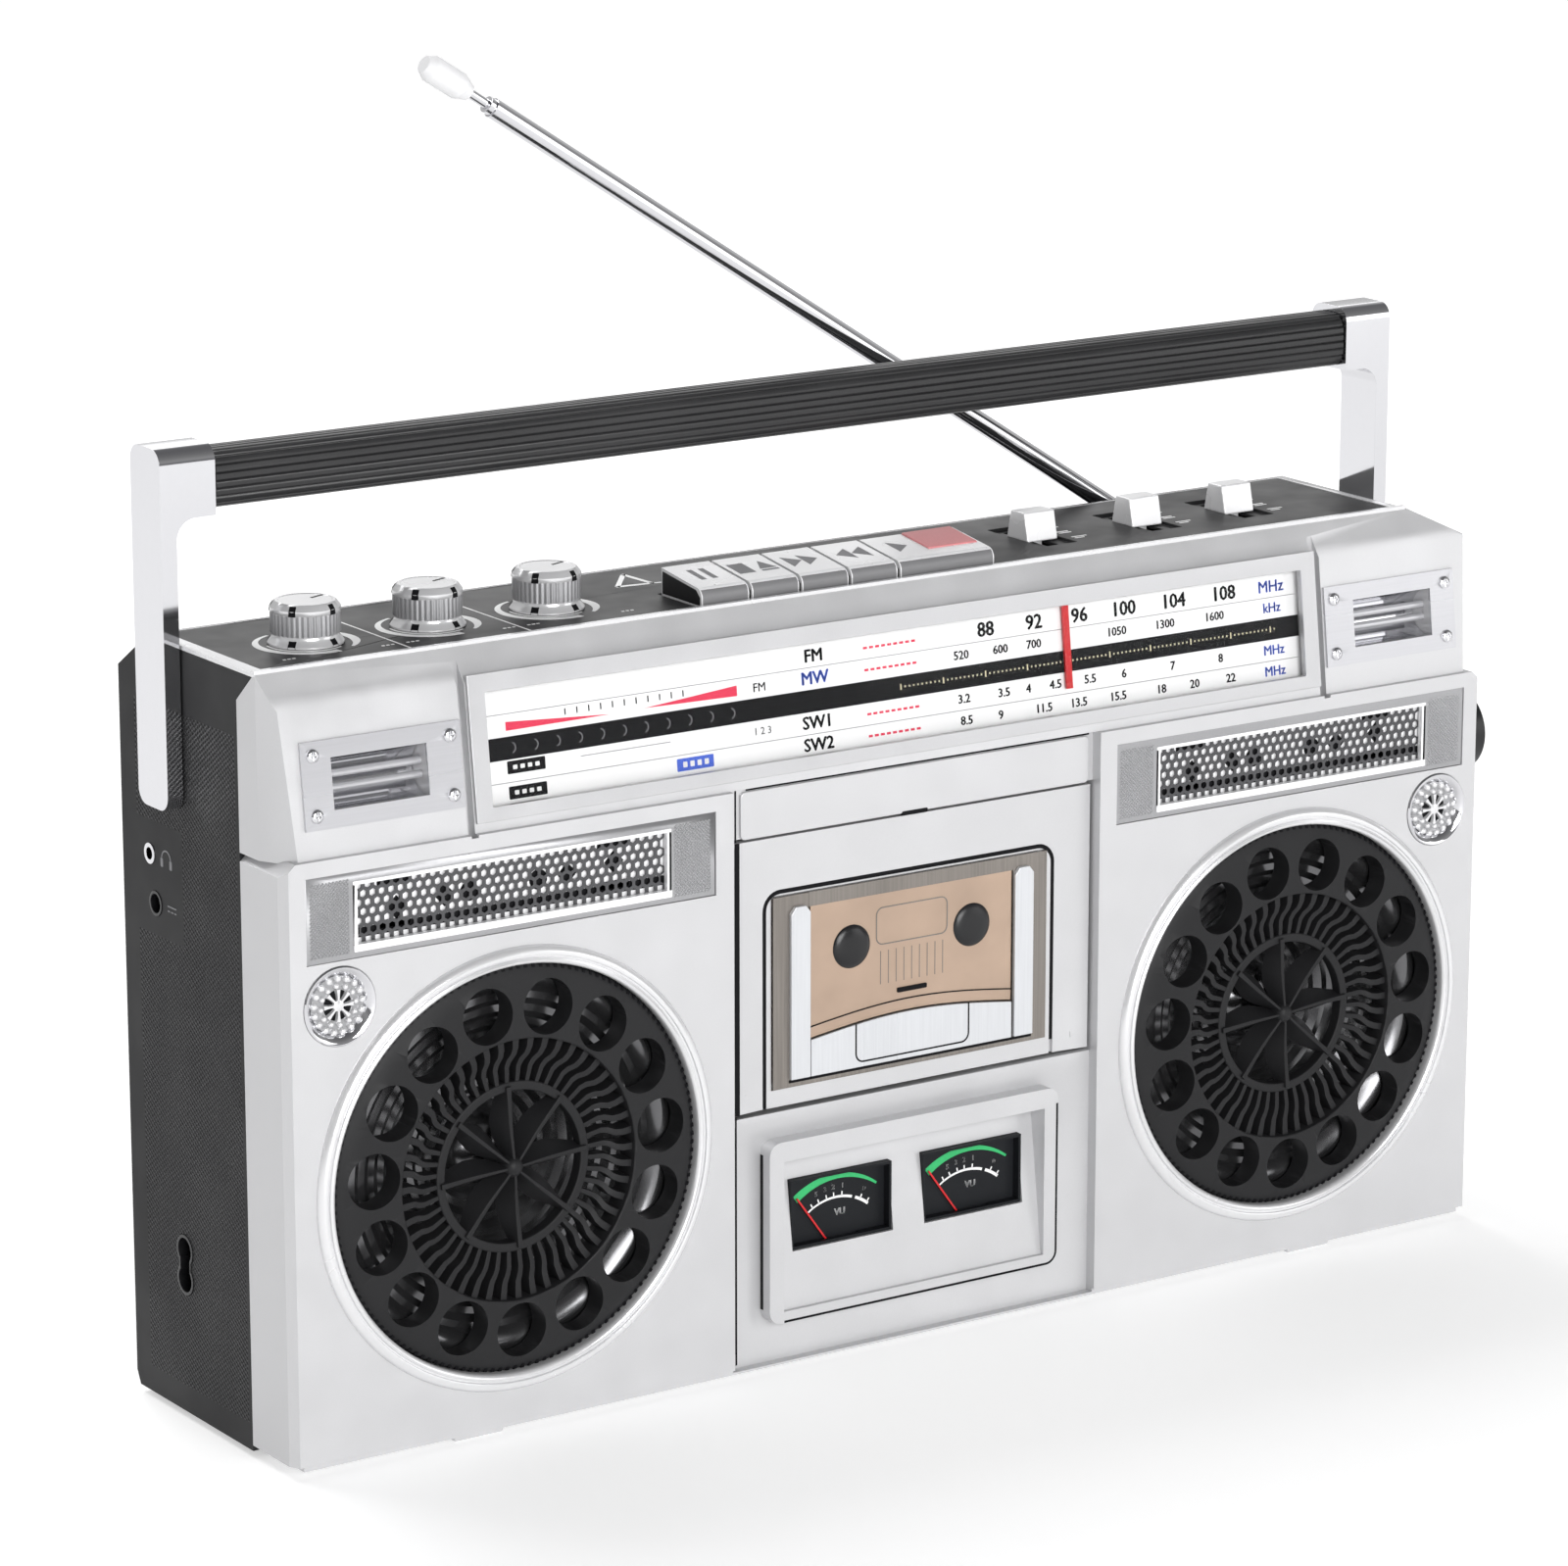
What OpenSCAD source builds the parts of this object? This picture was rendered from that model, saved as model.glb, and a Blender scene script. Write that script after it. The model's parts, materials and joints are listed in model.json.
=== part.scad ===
// Retro cassette player with radio: a silver front half, a dark rear half, a folding
// handle, a telescopic antenna and a front cassette door, as separate pieces.
// X runs left to right, Y from front to back and Z up. The origin is on the ground
// under the middle of the object. Heights named *_h are above the case bottom.

/* [Case] */
// Width of the case
case_w = 420; // [410:1:430]
// Height of the case above its base lip
case_h = 222.8; // [221:0.2:226]
// Depth of the case
case_d = 92; // [90:0.5:96]
// Depth of the silver front half
front_d = 23.6; // [23:0.2:25]
// Thickness of the case walls
wall = 2.6; // [2.2:0.1:3]
// Height of the ledge under the dial
ledge_h = 172; // [171:0.5:173]
// Lean of the dial panel, in degrees
dial_lean = 7; // [5:0.5:8]
// How far the right end of the top face stops short of the side
top_end = 21; // [16:1:24]
// Height of the base lip
lip_h = 1.7; // [1:0.1:2]
// Height of the feet
foot_h = 2; // [1.5:0.1:4]

/* [Front panel] */
// Distance between the middles of the two speakers
speaker_pitch = 274; // [270:1:278]
// Height of the speaker centres
speaker_h = 74; // [72:0.5:76]
// Radius of a speaker grille
grille_r = 59.1; // [55:0.1:60]
// Outer radius of a speaker ring
ring_r = 64.5; // [62:0.1:65]
// How far the speaker rings stand proud of the panel
ring_proud = 2; // [1:0.1:3]
// Half width of the middle column
column_half = 64.5; // [64:0.1:66]
// How far the middle column is set back
column_back = 4; // [3:0.1:4.4]
// Width of a horn tweeter frame
horn_w = 132.4; // [126:0.2:134]
// Height of a horn tweeter frame
horn_t = 24.4; // [23:0.2:25]
// Radius of a microphone grille
mic_r = 11.3; // [10:0.1:12]

/* [Cassette deck] */
// Height of the cassette door
door_t = 81; // [79:0.5:81.5]
// Distance between the two reel spindles
reel_pitch = 42.5; // [42.5:0.1:42.6]
// Height of the reel spindles
reel_h = 119.4; // [118:0.2:121]
// Radius of the door's hinge pins
hinge_r = 1.5; // [1.2:0.1:1.8]

/* [Controls] */
// Distance between two tape keys
key_pitch = 17.1; // [16.5:0.1:17.3]
// Height of the tape keys above the top panel at the front
key_t = 4.5; // [4:0.1:5]
// Gap between two keys
key_gap = 1.1; // [0.5:0.1:1.5]
// Distance between two rotary knobs
knob_pitch = 38.9; // [36:0.1:40]
// Radius of a rotary knob
knob_r = 9.45; // [8.5:0.05:10]
// Height of a rotary knob
knob_t = 12; // [10:0.5:14]
// Radius of the tuning knob
tuning_r = 12.5; // [11:0.1:13]

/* [Handle and antenna] */
// Thickness of a handle arm
arm_t = 4.8; // [4.5:0.1:5.5]
// Width of a handle arm, front to back
arm_w = 17; // [16:0.5:18]
// Height of the handle's top above the case bottom
handle_h = 277.5; // [272:0.5:290]
// Height of the handle's pivot
pivot_h = 185; // [184:0.5:187]
// Radius of the handle's pivot pins
pivot_r = 3; // [2.5:0.1:3.5]
// Length of the collapsed antenna from its hinge to its tip
antenna_l = 302; // [290:1:305]
// Angle of the antenna above the horizontal, in degrees
antenna_tilt = 32.4; // [25:0.1:60]
// Outer radius of the antenna's widest tube
antenna_r = 3; // [2.8:0.1:3.2]

/* [Sockets] */
// Radius of the headphone socket's bore
phones_r = 1.78; // [1.75:0.01:1.8]
// Radius of the low-voltage socket's bore
dc_r = 2.8; // [2.75:0.01:2.9]

/* [Hidden] */
$fn = 96;
eps = 0.01;
fit = 0.06;         // radial clearance of a pin in its bore

half_w = case_w / 2;
case_z = foot_h + lip_h;
top_z = case_z + case_h;
front_y = -case_d / 2 + ring_proud / 2;
rear_y = front_y + case_d;
split_y = front_y + front_d;
column_y = front_y + column_back;
ledge_z = case_z + ledge_h;
speaker_x = speaker_pitch / 2;
trim_y = front_y + 13.4;
crest_y = front_y + 73.3;
crest_x = half_w - top_end;
split_top_z = top_z - 9.1;
fascia_y = front_y + 2;
block_h = 213;      // height of the corner blocks' top edge
block_y = fascia_y + (block_h - ledge_h) * tan(dial_lean);

// Dial, in its own leaning frame: z runs up the slope from the ledge
dial_half = 148;
dial_z0 = 2.6;
dial_z1 = 45.4;
window_half = 142.5;
window_z0 = 6.6;
window_z1 = 38.5;
pointer_x = 57;
plate_x0 = 150.8;
plate_x1 = 201.2;
plate_z0 = 7.9;
plate_z1 = 32.2;
slot_x0 = 162;
slot_x1 = 192;
slot_z0 = 12.8;
slot_z1 = 27.2;
plate_screw_r = 1.9;

// Front features
horn_x = 136.8;
horn_h = 155.3;
mesh_w = 103.4;
mesh_t = 20;
mic_x = 193;
mic_h = 130.4;
door_h0 = 75.2;
door_half = column_half - 0.8;
door_back = 3.4;
lens_half = 48.6;
lens_h0 = 80.4;
lens_h1 = 138;
hinge_h = 80;
hinge_y = column_y + 3.2;
vu_half = 51.5;
vu_h0 = 10.5;
vu_h1 = 65.5;
vu_proud = 2.6;
vu_sink = 2.4;      // depth of the sunk frame around the meters
meter_x = 23.4;
meter_w = 35.6;
meter_t = 21.2;
meter_h = 41;
meter_y = column_y + 3;
needle_rest = 36;
needle_drop = 5.2;  // how far the needle's pivot lies below the visible face
needle_l = 24.5;
well_half = 8;      // half width of the covered space around the pivot
well_t = needle_drop + 3;
deck_y = column_y + 19;

// Top features
key_x0 = -64.6;
key_y0 = front_y + 17;
key_y1 = key_y0 + 21;
key_rise = 2.9;
knob_x0 = -179;
knob_y = front_y + 40;
switch_x = [71, 110, 145];
switch_y = front_y + 44;
switch_w = 12.4;
switch_l = 28.4;

// Handle and antenna
arm_y = front_y + 54.5 + arm_w / 2;
arm_in = half_w + 0.4;
arm_out = arm_in + arm_t;
arm_foot_h = 176;
grip_half = 198;
grip_t = 16.6;
bracket_t = 25;     // height of the bracket at the end of the grip
hinge_x = 141;
ant_y = front_y + 82;
ant_z = case_z + 210.7;
groove_w = 9.6;
ant_pin_r = 1.1;
tube_wall = 0.4;
tube_2_r = antenna_r - tube_wall - fit;
tube_3_r = tube_2_r - 1.1;
groove_x0 = -168;
tuning_y = front_y + 16;
tuning_h = 150;

// Sockets on the left side
phones_y = front_y + 75.7;
phones_h = 159.4;
dc_y = front_y + 72.9;
dc_h = 145.5;
inlet_y = front_y + 60.9;
inlet_h = 42.5;
inlet_r = 4.6;
inlet_half = 4.3;   // half the distance between the inlet's two bores

// Battery bay in the back
bay_half = 112;
bay_h0 = 12;
bay_h1 = 76;
bay_y = rear_y - 38;

silver = [0.80, 0.80, 0.81];
bright = [0.90, 0.90, 0.91];
dark = [0.22, 0.22, 0.23];
chrome = [0.86, 0.87, 0.88];

// ---- helpers ----

// A box from its lowest to its highest corner
module block(low, high) {
    translate(low) cube([high[0] - low[0], high[1] - low[1], high[2] - low[2]]);
}

// A profile in Y and Z, pushed along X
module along_x(x0, x1) {
    translate([x0, 0, 0]) rotate([90, 0, 90]) linear_extrude(x1 - x0) children();
}

// A profile in X and Z, pushed along Y
module along_y(y0, y1) {
    translate([0, y1, 0]) rotate([90, 0, 0]) linear_extrude(y1 - y0) children();
}

// A rod along X, Y or Z
module rod_x(r, x0, x1) { translate([x0, 0, 0]) rotate([0, 90, 0]) cylinder(r = r, h = x1 - x0); }
module rod_y(r, y0, y1) { translate([0, y1, 0]) rotate([90, 0, 0]) cylinder(r = r, h = y1 - y0); }
module rod_z(r, z0, z1) { translate([0, 0, z0]) cylinder(r = r, h = z1 - z0); }

// The same thing on both sides of the object
module pair() {
    children();
    mirror([1, 0, 0]) children();
}

// The leaning frame of the dial panel
module leaning() {
    translate([0, fascia_y, ledge_z]) rotate([-dial_lean, 0, 0]) children();
}

// A rectangle with rounded corners, drawn from its lowest to its highest corner
module rounded(x0, z0, x1, z1, r) {
    hull() for (x = [x0 + r, x1 - r], z = [z0 + r, z1 - r]) translate([x, z]) circle(r, $fn = 32);
}

// What a sunk frame with sloping sides takes away from a front face at y. The slope goes from
// x_out, z_low and z_high down to depth, over the distances run_x, run_low and run_high
module sunk_frame(y, depth, x_out, run_x, z_low, run_low, z_high, run_high) {
    intersection() {
        translate([0, 0, z_low - 1]) linear_extrude(z_high - z_low + 2)
            polygon([[-x_out, y], [-x_out + run_x, y + depth], [x_out - run_x, y + depth], [x_out, y],
                     [x_out, y - 1], [-x_out, y - 1]]);
        along_x(-x_out - 1, x_out + 1)
            polygon([[y, z_low], [y + depth, z_low + run_low], [y + depth, z_high - run_high], [y, z_high],
                     [y - 1, z_high], [y - 1, z_low]]);
    }
}

// ---- case ----

// Where the top face meets the front half, seen from the side
function split_line() = [[trim_y, top_z], [split_y, split_top_z]];

// Outline of the case seen from the front, with the sloping right end of the top
module end_outline(inset) {
    polygon([[-half_w + inset, case_z - lip_h + inset], [half_w - inset, case_z - lip_h + inset],
             [half_w - inset, top_z - 10.5 - inset], [crest_x - inset / 2, top_z - inset],
             [-half_w + inset, top_z - inset]]);
}

module front_lower() {
    intersection() {
        translate([0, 0, case_z]) linear_extrude(ledge_h)
            polygon([[-half_w, split_y], [-half_w, front_y + 3], [-half_w + 1.8, front_y],
                     [half_w - 1.8, front_y], [half_w, front_y + 3], [half_w, split_y]]);
        along_y(front_y - 1, split_y + 1)
            polygon([[-half_w, case_z], [half_w, case_z], [half_w, ledge_z - 3.5],
                     [half_w - 4, ledge_z], [-half_w + 4, ledge_z], [-half_w, ledge_z - 3.5]]);
    }
}

module front_upper() {
    intersection() {
        along_x(-half_w, half_w)
            polygon(concat([[split_y, ledge_z - 1], [fascia_y - tan(dial_lean), ledge_z - 1],
                            [block_y, case_z + block_h], [block_y + 2.4, case_z + block_h + 3.4]],
                           split_line()));
        translate([0, 0, ledge_z - 1]) linear_extrude(case_h)
            polygon([[-half_w, split_y], [-half_w, front_y + 13], [-half_w + 6.5, front_y + 1],
                     [half_w - 6.5, front_y + 1], [half_w, front_y + 13], [half_w, split_y]]);
        along_y(front_y - 1, split_y + 1) end_outline(0);
    }
}

module front_cavity() {
    block([-half_w + wall, column_y + wall, case_z + wall],
          [half_w - wall, split_y + 1, ledge_z - wall]);
    pair() block([column_half + wall, front_y + wall, case_z + wall],
                 [half_w - 2 * wall, column_y + wall + 1, ledge_z - wall]);
    along_x(-half_w + 3 * wall, half_w - 3 * wall)
        polygon([[split_y + 1, ledge_z - wall - 1], [fascia_y + 2 * wall, ledge_z - wall - 1],
                 [fascia_y + 2 * wall, ledge_z], [front_y + 8 + wall, case_z + 208],
                 [split_y + 1, case_z + 208]]);
}

// Opening that the tape keys move down into
module key_well() {
    block([key_x0 - 0.5, key_y0 - 0.5, top_z - 10],
          [key_x0 + 6 * key_pitch + 0.5, key_y1 + 0.5, top_z + 1]);
}

module front_holes() {
    key_well();
    // Seats of the bezel and the top panel
    block([-half_w - 1, trim_y - 0.2, top_z - 1.15], [half_w + 1, split_y + 1, top_z + 1]);
    block([-half_w + 4, trim_y + 1.5, top_z - 2.3], [half_w + 1, split_y + 1, top_z]);
    pair() {
        translate([speaker_x, 0, case_z + speaker_h]) rod_y(grille_r + 1.2, front_y - 1, split_y);
        translate([mic_x, 0, case_z + mic_h]) rod_y(mic_r - 2, front_y - 1, front_y + 20);
        translate([mic_x, 0, case_z + mic_h]) rod_y(mic_r + 0.1, front_y - 1, front_y + 1.6);
        block([horn_x - mesh_w / 2, front_y - 1, case_z + horn_h - mesh_t / 2],
              [horn_x + mesh_w / 2, front_y + 20, case_z + horn_h + mesh_t / 2]);
        block([horn_x - horn_w / 2, front_y - 1, case_z + horn_h - horn_t / 2],
              [horn_x + horn_w / 2, front_y + 1.6, case_z + horn_h + horn_t / 2]);
    }
    // Set-back middle column, its door opening and its meter opening
    block([-column_half, front_y - 1, case_z - 1], [column_half, column_y, ledge_z]);
    block([-column_half, column_y - 1, case_z + door_h0 - 1.2],
          [column_half, split_y - 4, case_z + door_h0 + door_t + 0.8]);
    sunk_frame(column_y, vu_sink, column_half - 2, 9, case_z + 3, 6, case_z + door_h0 - 3.4, 5);
    block([-vu_half + 3, column_y - 1, case_z + vu_h0 + 3],
          [vu_half - 3, split_y, case_z + vu_h1 - 3]);
    pair() translate([0, hinge_y, case_z + hinge_h])
        rod_x(hinge_r + fit, column_half - 1, column_half + wall + 1);
    translate([0, tuning_y, case_z + tuning_h]) rod_x(pivot_r + fit, half_w - 3 * wall, half_w + 1);
}

module dial_holes() {
    leaning() {
        block([-dial_half + 2, -3, dial_z0 + 2], [dial_half - 2, 20, dial_z1 - 4]);
        pair() {
            block([dial_half + 0.3, -3, -1], [plate_x0 - 0.2, 3.2, dial_z1 + 6]);
            block([slot_x0, -3, slot_z0], [slot_x1, 9, slot_z1]);
        }
    }
}

module front_cabinet() {
    color(silver) difference() {
        union() {
            difference() {
                union() {
                    front_lower();
                    front_upper();
                    // Base lip
                    block([-half_w + 3.5, front_y + 1, case_z - lip_h], [half_w - 3.5, split_y, case_z + 1]);
                }
                front_cavity();
            }
            // Thicker wall behind the sunk frame around the meters
            block([-column_half, column_y + wall - eps, case_z + 1],
                  [column_half, column_y + wall + vu_sink, case_z + door_h0 - 1.4]);
            // Walls of the middle column and pockets behind the corner plates
            pair() block([column_half - eps, front_y + 1, case_z + wall - 1],
                         [column_half + wall, split_y - 4, ledge_z - wall + 1]);
            leaning() pair() block([slot_x0 - 1.5, 1, slot_z0 - 1.5], [slot_x1 + 1.5, 10.5, slot_z1 + 1.5]);
        }
        front_holes();
        dial_holes();
    }
}

module rear_profile(inset) {
    polygon([[split_y, case_z - lip_h + inset], [rear_y - 2, case_z - lip_h + inset],
             [rear_y - inset, case_z + 2.3 + inset], [rear_y - inset, case_z + 210.6 - inset / 2],
             [crest_y - inset / 2, top_z - inset], [trim_y + inset, top_z - inset],
             [split_y, split_top_z - inset]]);
}

module rear_shell() {
    difference() {
        intersection() {
            along_x(-half_w, half_w) rear_profile(0);
            along_y(trim_y - 1, rear_y + 1) end_outline(0);
        }
        intersection() {
            along_x(-half_w + wall, half_w - wall) union() {
                rear_profile(wall);
                polygon([[split_y - 9, case_z], [split_y + 1, case_z - lip_h + wall],
                         [split_y + 1, split_top_z - wall], [split_y - 9, split_top_z - wall]]);
            }
            along_y(trim_y - 1, rear_y + 1) end_outline(wall);
        }
    }
}

// Groove along the back of the top, where the antenna lies when it is folded down
module antenna_groove(extra) {
    block([groove_x0 - extra, ant_y - groove_w / 2 - extra, ant_z - 6 - extra],
          [hinge_x + 9 + extra, ant_y + groove_w / 2 + extra, top_z + 1]);
    block([hinge_x - 12 - extra, ant_y - groove_w / 2 - 1 - extra, ant_z - 14 - extra],
          [hinge_x + 22 + extra, rear_y + 1, top_z + 1]);
}

module rear_cabinet() {
    color(dark) difference() {
        union() {
            rear_shell();
            // Channel walls under the antenna's groove
            intersection() {
                antenna_groove(2);
                along_x(-half_w + 1, half_w - 1) rear_profile(0.5);
                along_y(0, rear_y) end_outline(1);
            }
            // Battery bay
            block([-bay_half - 2, bay_y - 2, case_z + bay_h0 - 2],
                  [bay_half + 2, rear_y - 1, case_z + bay_h1 + 2]);
            // Screw posts that reach the front half
            for (x = [-200, 200], z = [case_z + 12, case_z + 168])
                translate([x, 0, z]) rod_y(4, split_y, rear_y - 1);
        }
        antenna_groove(0);
        key_well();
        block([-bay_half, bay_y, case_z + bay_h0], [bay_half, rear_y + 1, case_z + bay_h1]);
        // Seat of the battery door
        block([-bay_half - 5, rear_y - 2.4, case_z + bay_h0 - 5],
              [bay_half + 5, rear_y + 1, case_z + bay_h1 + 4]);
        // Seats of the bezel and the top panel, and the opening under them
        block([-half_w - 1, trim_y - 1, top_z - 1.2], [crest_x, crest_y - 0.2, top_z + 1]);
        block([-half_w + 4.3, trim_y + 1.6, top_z - 2.2], [crest_x - 3, crest_y - 1.2, top_z]);
        block([-half_w + 8, trim_y + 5, top_z - 10], [crest_x - 7, crest_y - 5, top_z]);
        pair() translate([0, arm_y, case_z + pivot_h]) rod_x(pivot_r + fit, half_w - 10, half_w + 1);
        translate([hinge_x, ant_y, 0]) rod_z(2.5 + fit, ant_z - 18, ant_z - 13);
        translate([0, phones_y, case_z + phones_h]) rod_x(3.05, -half_w - 1, -half_w + 5);
        translate([0, dc_y, case_z + dc_h]) rod_x(3.65, -half_w - 1, -half_w + 5);
        inlet_hole(0.1);
        for (x = [-200, 200], z = [case_z + 12, case_z + 168]) translate([x, 0, z]) {
            rod_y(1.6, split_y - 1, rear_y + 1);
            rod_y(3.4, rear_y - 3, rear_y + 1);
        }
    }
}

// ---- top ----

module panel_outline(inset) {
    translate([-half_w + 4.4 + inset, trim_y + 1.7 + inset])
        square([crest_x - 3.1 - (-half_w + 4.4) - 2 * inset, crest_y - 1.3 - trim_y - 1.7 - 2 * inset]);
}

module top_panel() {
    color(dark) difference() {
        translate([0, 0, top_z - 2.2]) linear_extrude(2) panel_outline(0.1);
        key_well();
        for (i = [0:2]) translate([knob_x0 + i * knob_pitch, knob_y, 0])
            rod_z(pivot_r + fit, top_z - 5, top_z + 1);
        for (x = switch_x) {
            block([x - switch_w / 2, switch_y - switch_l / 2, top_z - 1.2],
                  [x + switch_w / 2, switch_y + switch_l / 2, top_z + 1]);
            block([x - 2, switch_y - 12, top_z - 5], [x + 2, switch_y + 12, top_z + 1]);
        }
    }
}

module top_bezel() {
    color(bright) difference() {
        union() {
            block([-half_w, trim_y - 0.2, top_z - 1.1], [crest_x - 0.1, crest_y - 0.3, top_z]);
            block([-half_w, trim_y - 0.2, top_z - 1.1], [crest_x - 0.1, trim_y + 1.5, top_z + 0.7]);
        }
        translate([0, 0, top_z - 3]) linear_extrude(5) panel_outline(-0.1);
    }
}

// A tape key whose top rises to the back, with a rounded front edge and a stem
module tape_key(first, units, cut) {
    x0 = key_x0 + first * key_pitch + key_gap / 2;
    x1 = x0 + units * key_pitch - key_gap;
    difference() {
        along_x(x0, x1) union() {
            polygon([[key_y0, top_z - 1.6], [key_y1, top_z - 1.6],
                     [key_y1, top_z + key_t + key_rise], [key_y0 + 3, top_z + key_t + 0.4],
                     [key_y0, top_z + key_t - 2.6]]);
            translate([key_y0 + 3, top_z + key_t - 2.6]) circle(3, $fn = 48);
        }
        if (cut) cap_space(0);
    }
    block([(x0 + x1) / 2 - 3, key_y0 + 9, top_z - 14], [(x0 + x1) / 2 + 3, key_y0 + 13, top_z - 1.5]);
}

// Space for the red inset on the record key
module cap_space(inset) {
    x1 = key_x0 + 6 * key_pitch - key_gap / 2 - 0.9;
    block([x1 - 17.5 + inset, key_y0 + 7 + inset, top_z + 2 + inset],
          [x1 - inset, key_y1 + 1, top_z + 20]);
}

module pause_key() { color(bright) tape_key(0, 1, false); }
module stop_key() { color(bright) tape_key(1, 1, false); }
module forward_key() { color(bright) tape_key(2, 1, false); }
module rewind_key() { color(bright) tape_key(3, 1, false); }
module record_key() { color(bright) tape_key(4, 2, true); }

module record_key_cap() {
    color([0.85, 0.52, 0.52]) intersection() {
        cap_space(0.05);
        along_x(-100, 100) polygon([[key_y0 + 7, top_z + 2], [key_y1 - 0.05, top_z + 2],
                                    [key_y1 - 0.05, top_z + key_t + key_rise + 0.5],
                                    [key_y0 + 7, top_z + key_t + 1.4]]);
    }
}

module rotary_knob(i) {
    translate([knob_x0 + i * knob_pitch, knob_y, top_z]) {
        rotate_extrude() polygon([[0, 0.5], [10.7, 0.5], [10.7, 1.4], [knob_r, 3.2],
                                  [knob_r, knob_t - 1], [knob_r - 1, knob_t], [0, knob_t]]);
        rod_z(pivot_r, -9, 1);
    }
}

module volume_knob() { color(chrome) rotary_knob(0); }
module balance_knob() { color(chrome) rotary_knob(1); }
module tone_knob() { color(chrome) rotary_knob(2); }

module switch_cap(x) {
    along_x(x - 5.6, x + 5.6)
        polygon([[switch_y - 5.4, top_z - 0.8], [switch_y + 5.4, top_z - 0.8],
                 [switch_y + 3.4, top_z + 7.8], [switch_y - 3.4, top_z + 7.8]]);
    block([x - 1.6, switch_y - 3, top_z - 8], [x + 1.6, switch_y + 3, top_z - 0.5]);
}

module band_switch() { color(bright) switch_cap(switch_x[0]); }
module function_switch() { color(bright) switch_cap(switch_x[1]); }
module mode_switch() { color(bright) switch_cap(switch_x[2]); }

// ---- dial ----

module dial_frame() {
    color(silver) leaning() difference() {
        union() {
            block([-dial_half, -1.2, dial_z0], [dial_half, 0, dial_z1 - 1.6]);
            block([-dial_half + 2.2, -0.5, dial_z0 + 2.2], [dial_half - 2.2, 4.6, dial_z1 - 4.2]);
        }
        block([-window_half, -3, window_z0], [window_half, 1.2, window_z1]);
        block([-window_half - 2, 1.1, window_z0 - 1], [window_half + 2, 6, window_z1 + 1.4]);
    }
}

module dial_scale() {
    color([0.96, 0.96, 0.95]) leaning()
        block([-window_half - 1.8, 3.3, window_z0 - 0.9], [window_half + 1.8, 4.3, window_z1 + 0.2]);
}

module dial_window() {
    color([0.9, 0.95, 1, 0.3]) leaning()
        block([-window_half + 0.05, -0.6, window_z0 + 0.05], [window_half - 0.05, 1, window_z1 - 0.05]);
}

module dial_pointer() {
    color([0.75, 0.05, 0.08]) leaning() {
        block([pointer_x - 1.1, 1.7, window_z0 + 7], [pointer_x + 1.1, 2.5, window_z1 + 0.9]);
        block([pointer_x - 1.1, 1.7, window_z1 + 0.55], [pointer_x + 1.1, 8, window_z1 + 1.1]);
        block([pointer_x - 5, 7.4, window_z1 - 7], [pointer_x + 5, 9, window_z1 + 1.1]);
    }
}

// Bright plates with a window that shows two bars
module corner_plates() {
    color(chrome) leaning() pair() {
        difference() {
            block([plate_x0 + 0.3, -0.9, plate_z0], [plate_x1, 0, plate_z1]);
            block([slot_x0, -3, slot_z0], [slot_x1, 3, slot_z1]);
            for (x = [154.6, 197.6], z = [plate_z0 + 3.9, plate_z1 - 3.9])
                translate([x, 0, z]) rod_y(1, -3, 3);
        }
        for (z = [18.4, 22.2]) translate([0, 3.4, z]) rod_x(1.1, slot_x0 + 0.05, slot_x1 - 0.05);
    }
}

module screws() {
    color(chrome) {
        leaning() pair() for (x = [154.6, 197.6], z = [plate_z0 + 3.9, plate_z1 - 3.9])
            translate([x, 0, z]) difference() {
                intersection() {
                    rod_y(plate_screw_r, -1.9, -0.95);
                    translate([0, 0.9, 0]) sphere(3, $fn = 64);
                }
                block([-0.25, -3, -1.3], [0.25, -1.5, 1.3]);
                block([-1.3, -3, -0.25], [1.3, -1.5, 0.25]);
            }
        for (x = [-200, 200], z = [case_z + 12, case_z + 168]) translate([x, 0, z]) {
            rod_y(1.5, split_y + 20, rear_y - 2.4);
            rod_y(3.2, rear_y - 2.9, rear_y - 0.9);
        }
    }
}

// ---- speakers ----

module speaker_rings() {
    color(bright) pair() translate([speaker_x, front_y, case_z + speaker_h]) rotate([90, 0, 0])
        rotate_extrude($fn = 180)
            polygon([[grille_r + 0.3, -4.5], [grille_r + 1.1, -4.5], [grille_r + 1.1, 0], [ring_r, 0],
                     [ring_r, 0.9], [ring_r - 1.3, ring_proud], [ring_r - 3, ring_proud],
                     [ring_r - 3.8, 0.8], [grille_r + 0.3, 0.8]]);
}

// Grille disc with a ring of round holes, a ring of slots and a star in the middle
module speaker_grille() {
    translate([0, front_y, case_z + speaker_h]) rotate([90, 0, 0]) {
        difference() {
            rotate_extrude($fn = 180)
                polygon([[22.6, -4], [38, -4], [38, -2.4], [56.4, -2.4], [56.4, -4.4], [grille_r, -4.4],
                         [grille_r, -1.6], [56.2, 0.6], [38, 1.4], [38, -0.2], [30.2, -0.2], [30.2, -2],
                         [22.6, -2]]);
            for (i = [0:14]) rotate(i * 24) translate([47, 0, 0]) rod_z(8, -9, 9);
            for (i = [0:23]) rotate(i * 15) translate([31.2, -1.3, -9]) cube([4.8, 2.6, 18]);
            for (i = [0:23]) rotate(i * 15 + 7.5) translate([25, -1, -9]) cube([4.2, 2, 18]);
        }
        rod_z(4.5, -4, -1);
        for (i = [0:7]) rotate(i * 45) translate([0, 0, -3.8])
            linear_extrude(2.4)
                polygon([[3, -0.9], [12, -2.2], [24, -0.7], [24, 0.7], [12, 2.2], [3, 0.9]]);
    }
}

module speaker_grille_left() { color(dark) translate([-speaker_x, 0, 0]) speaker_grille(); }
module speaker_grille_right() { color(dark) translate([speaker_x, 0, 0]) speaker_grille(); }

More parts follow.
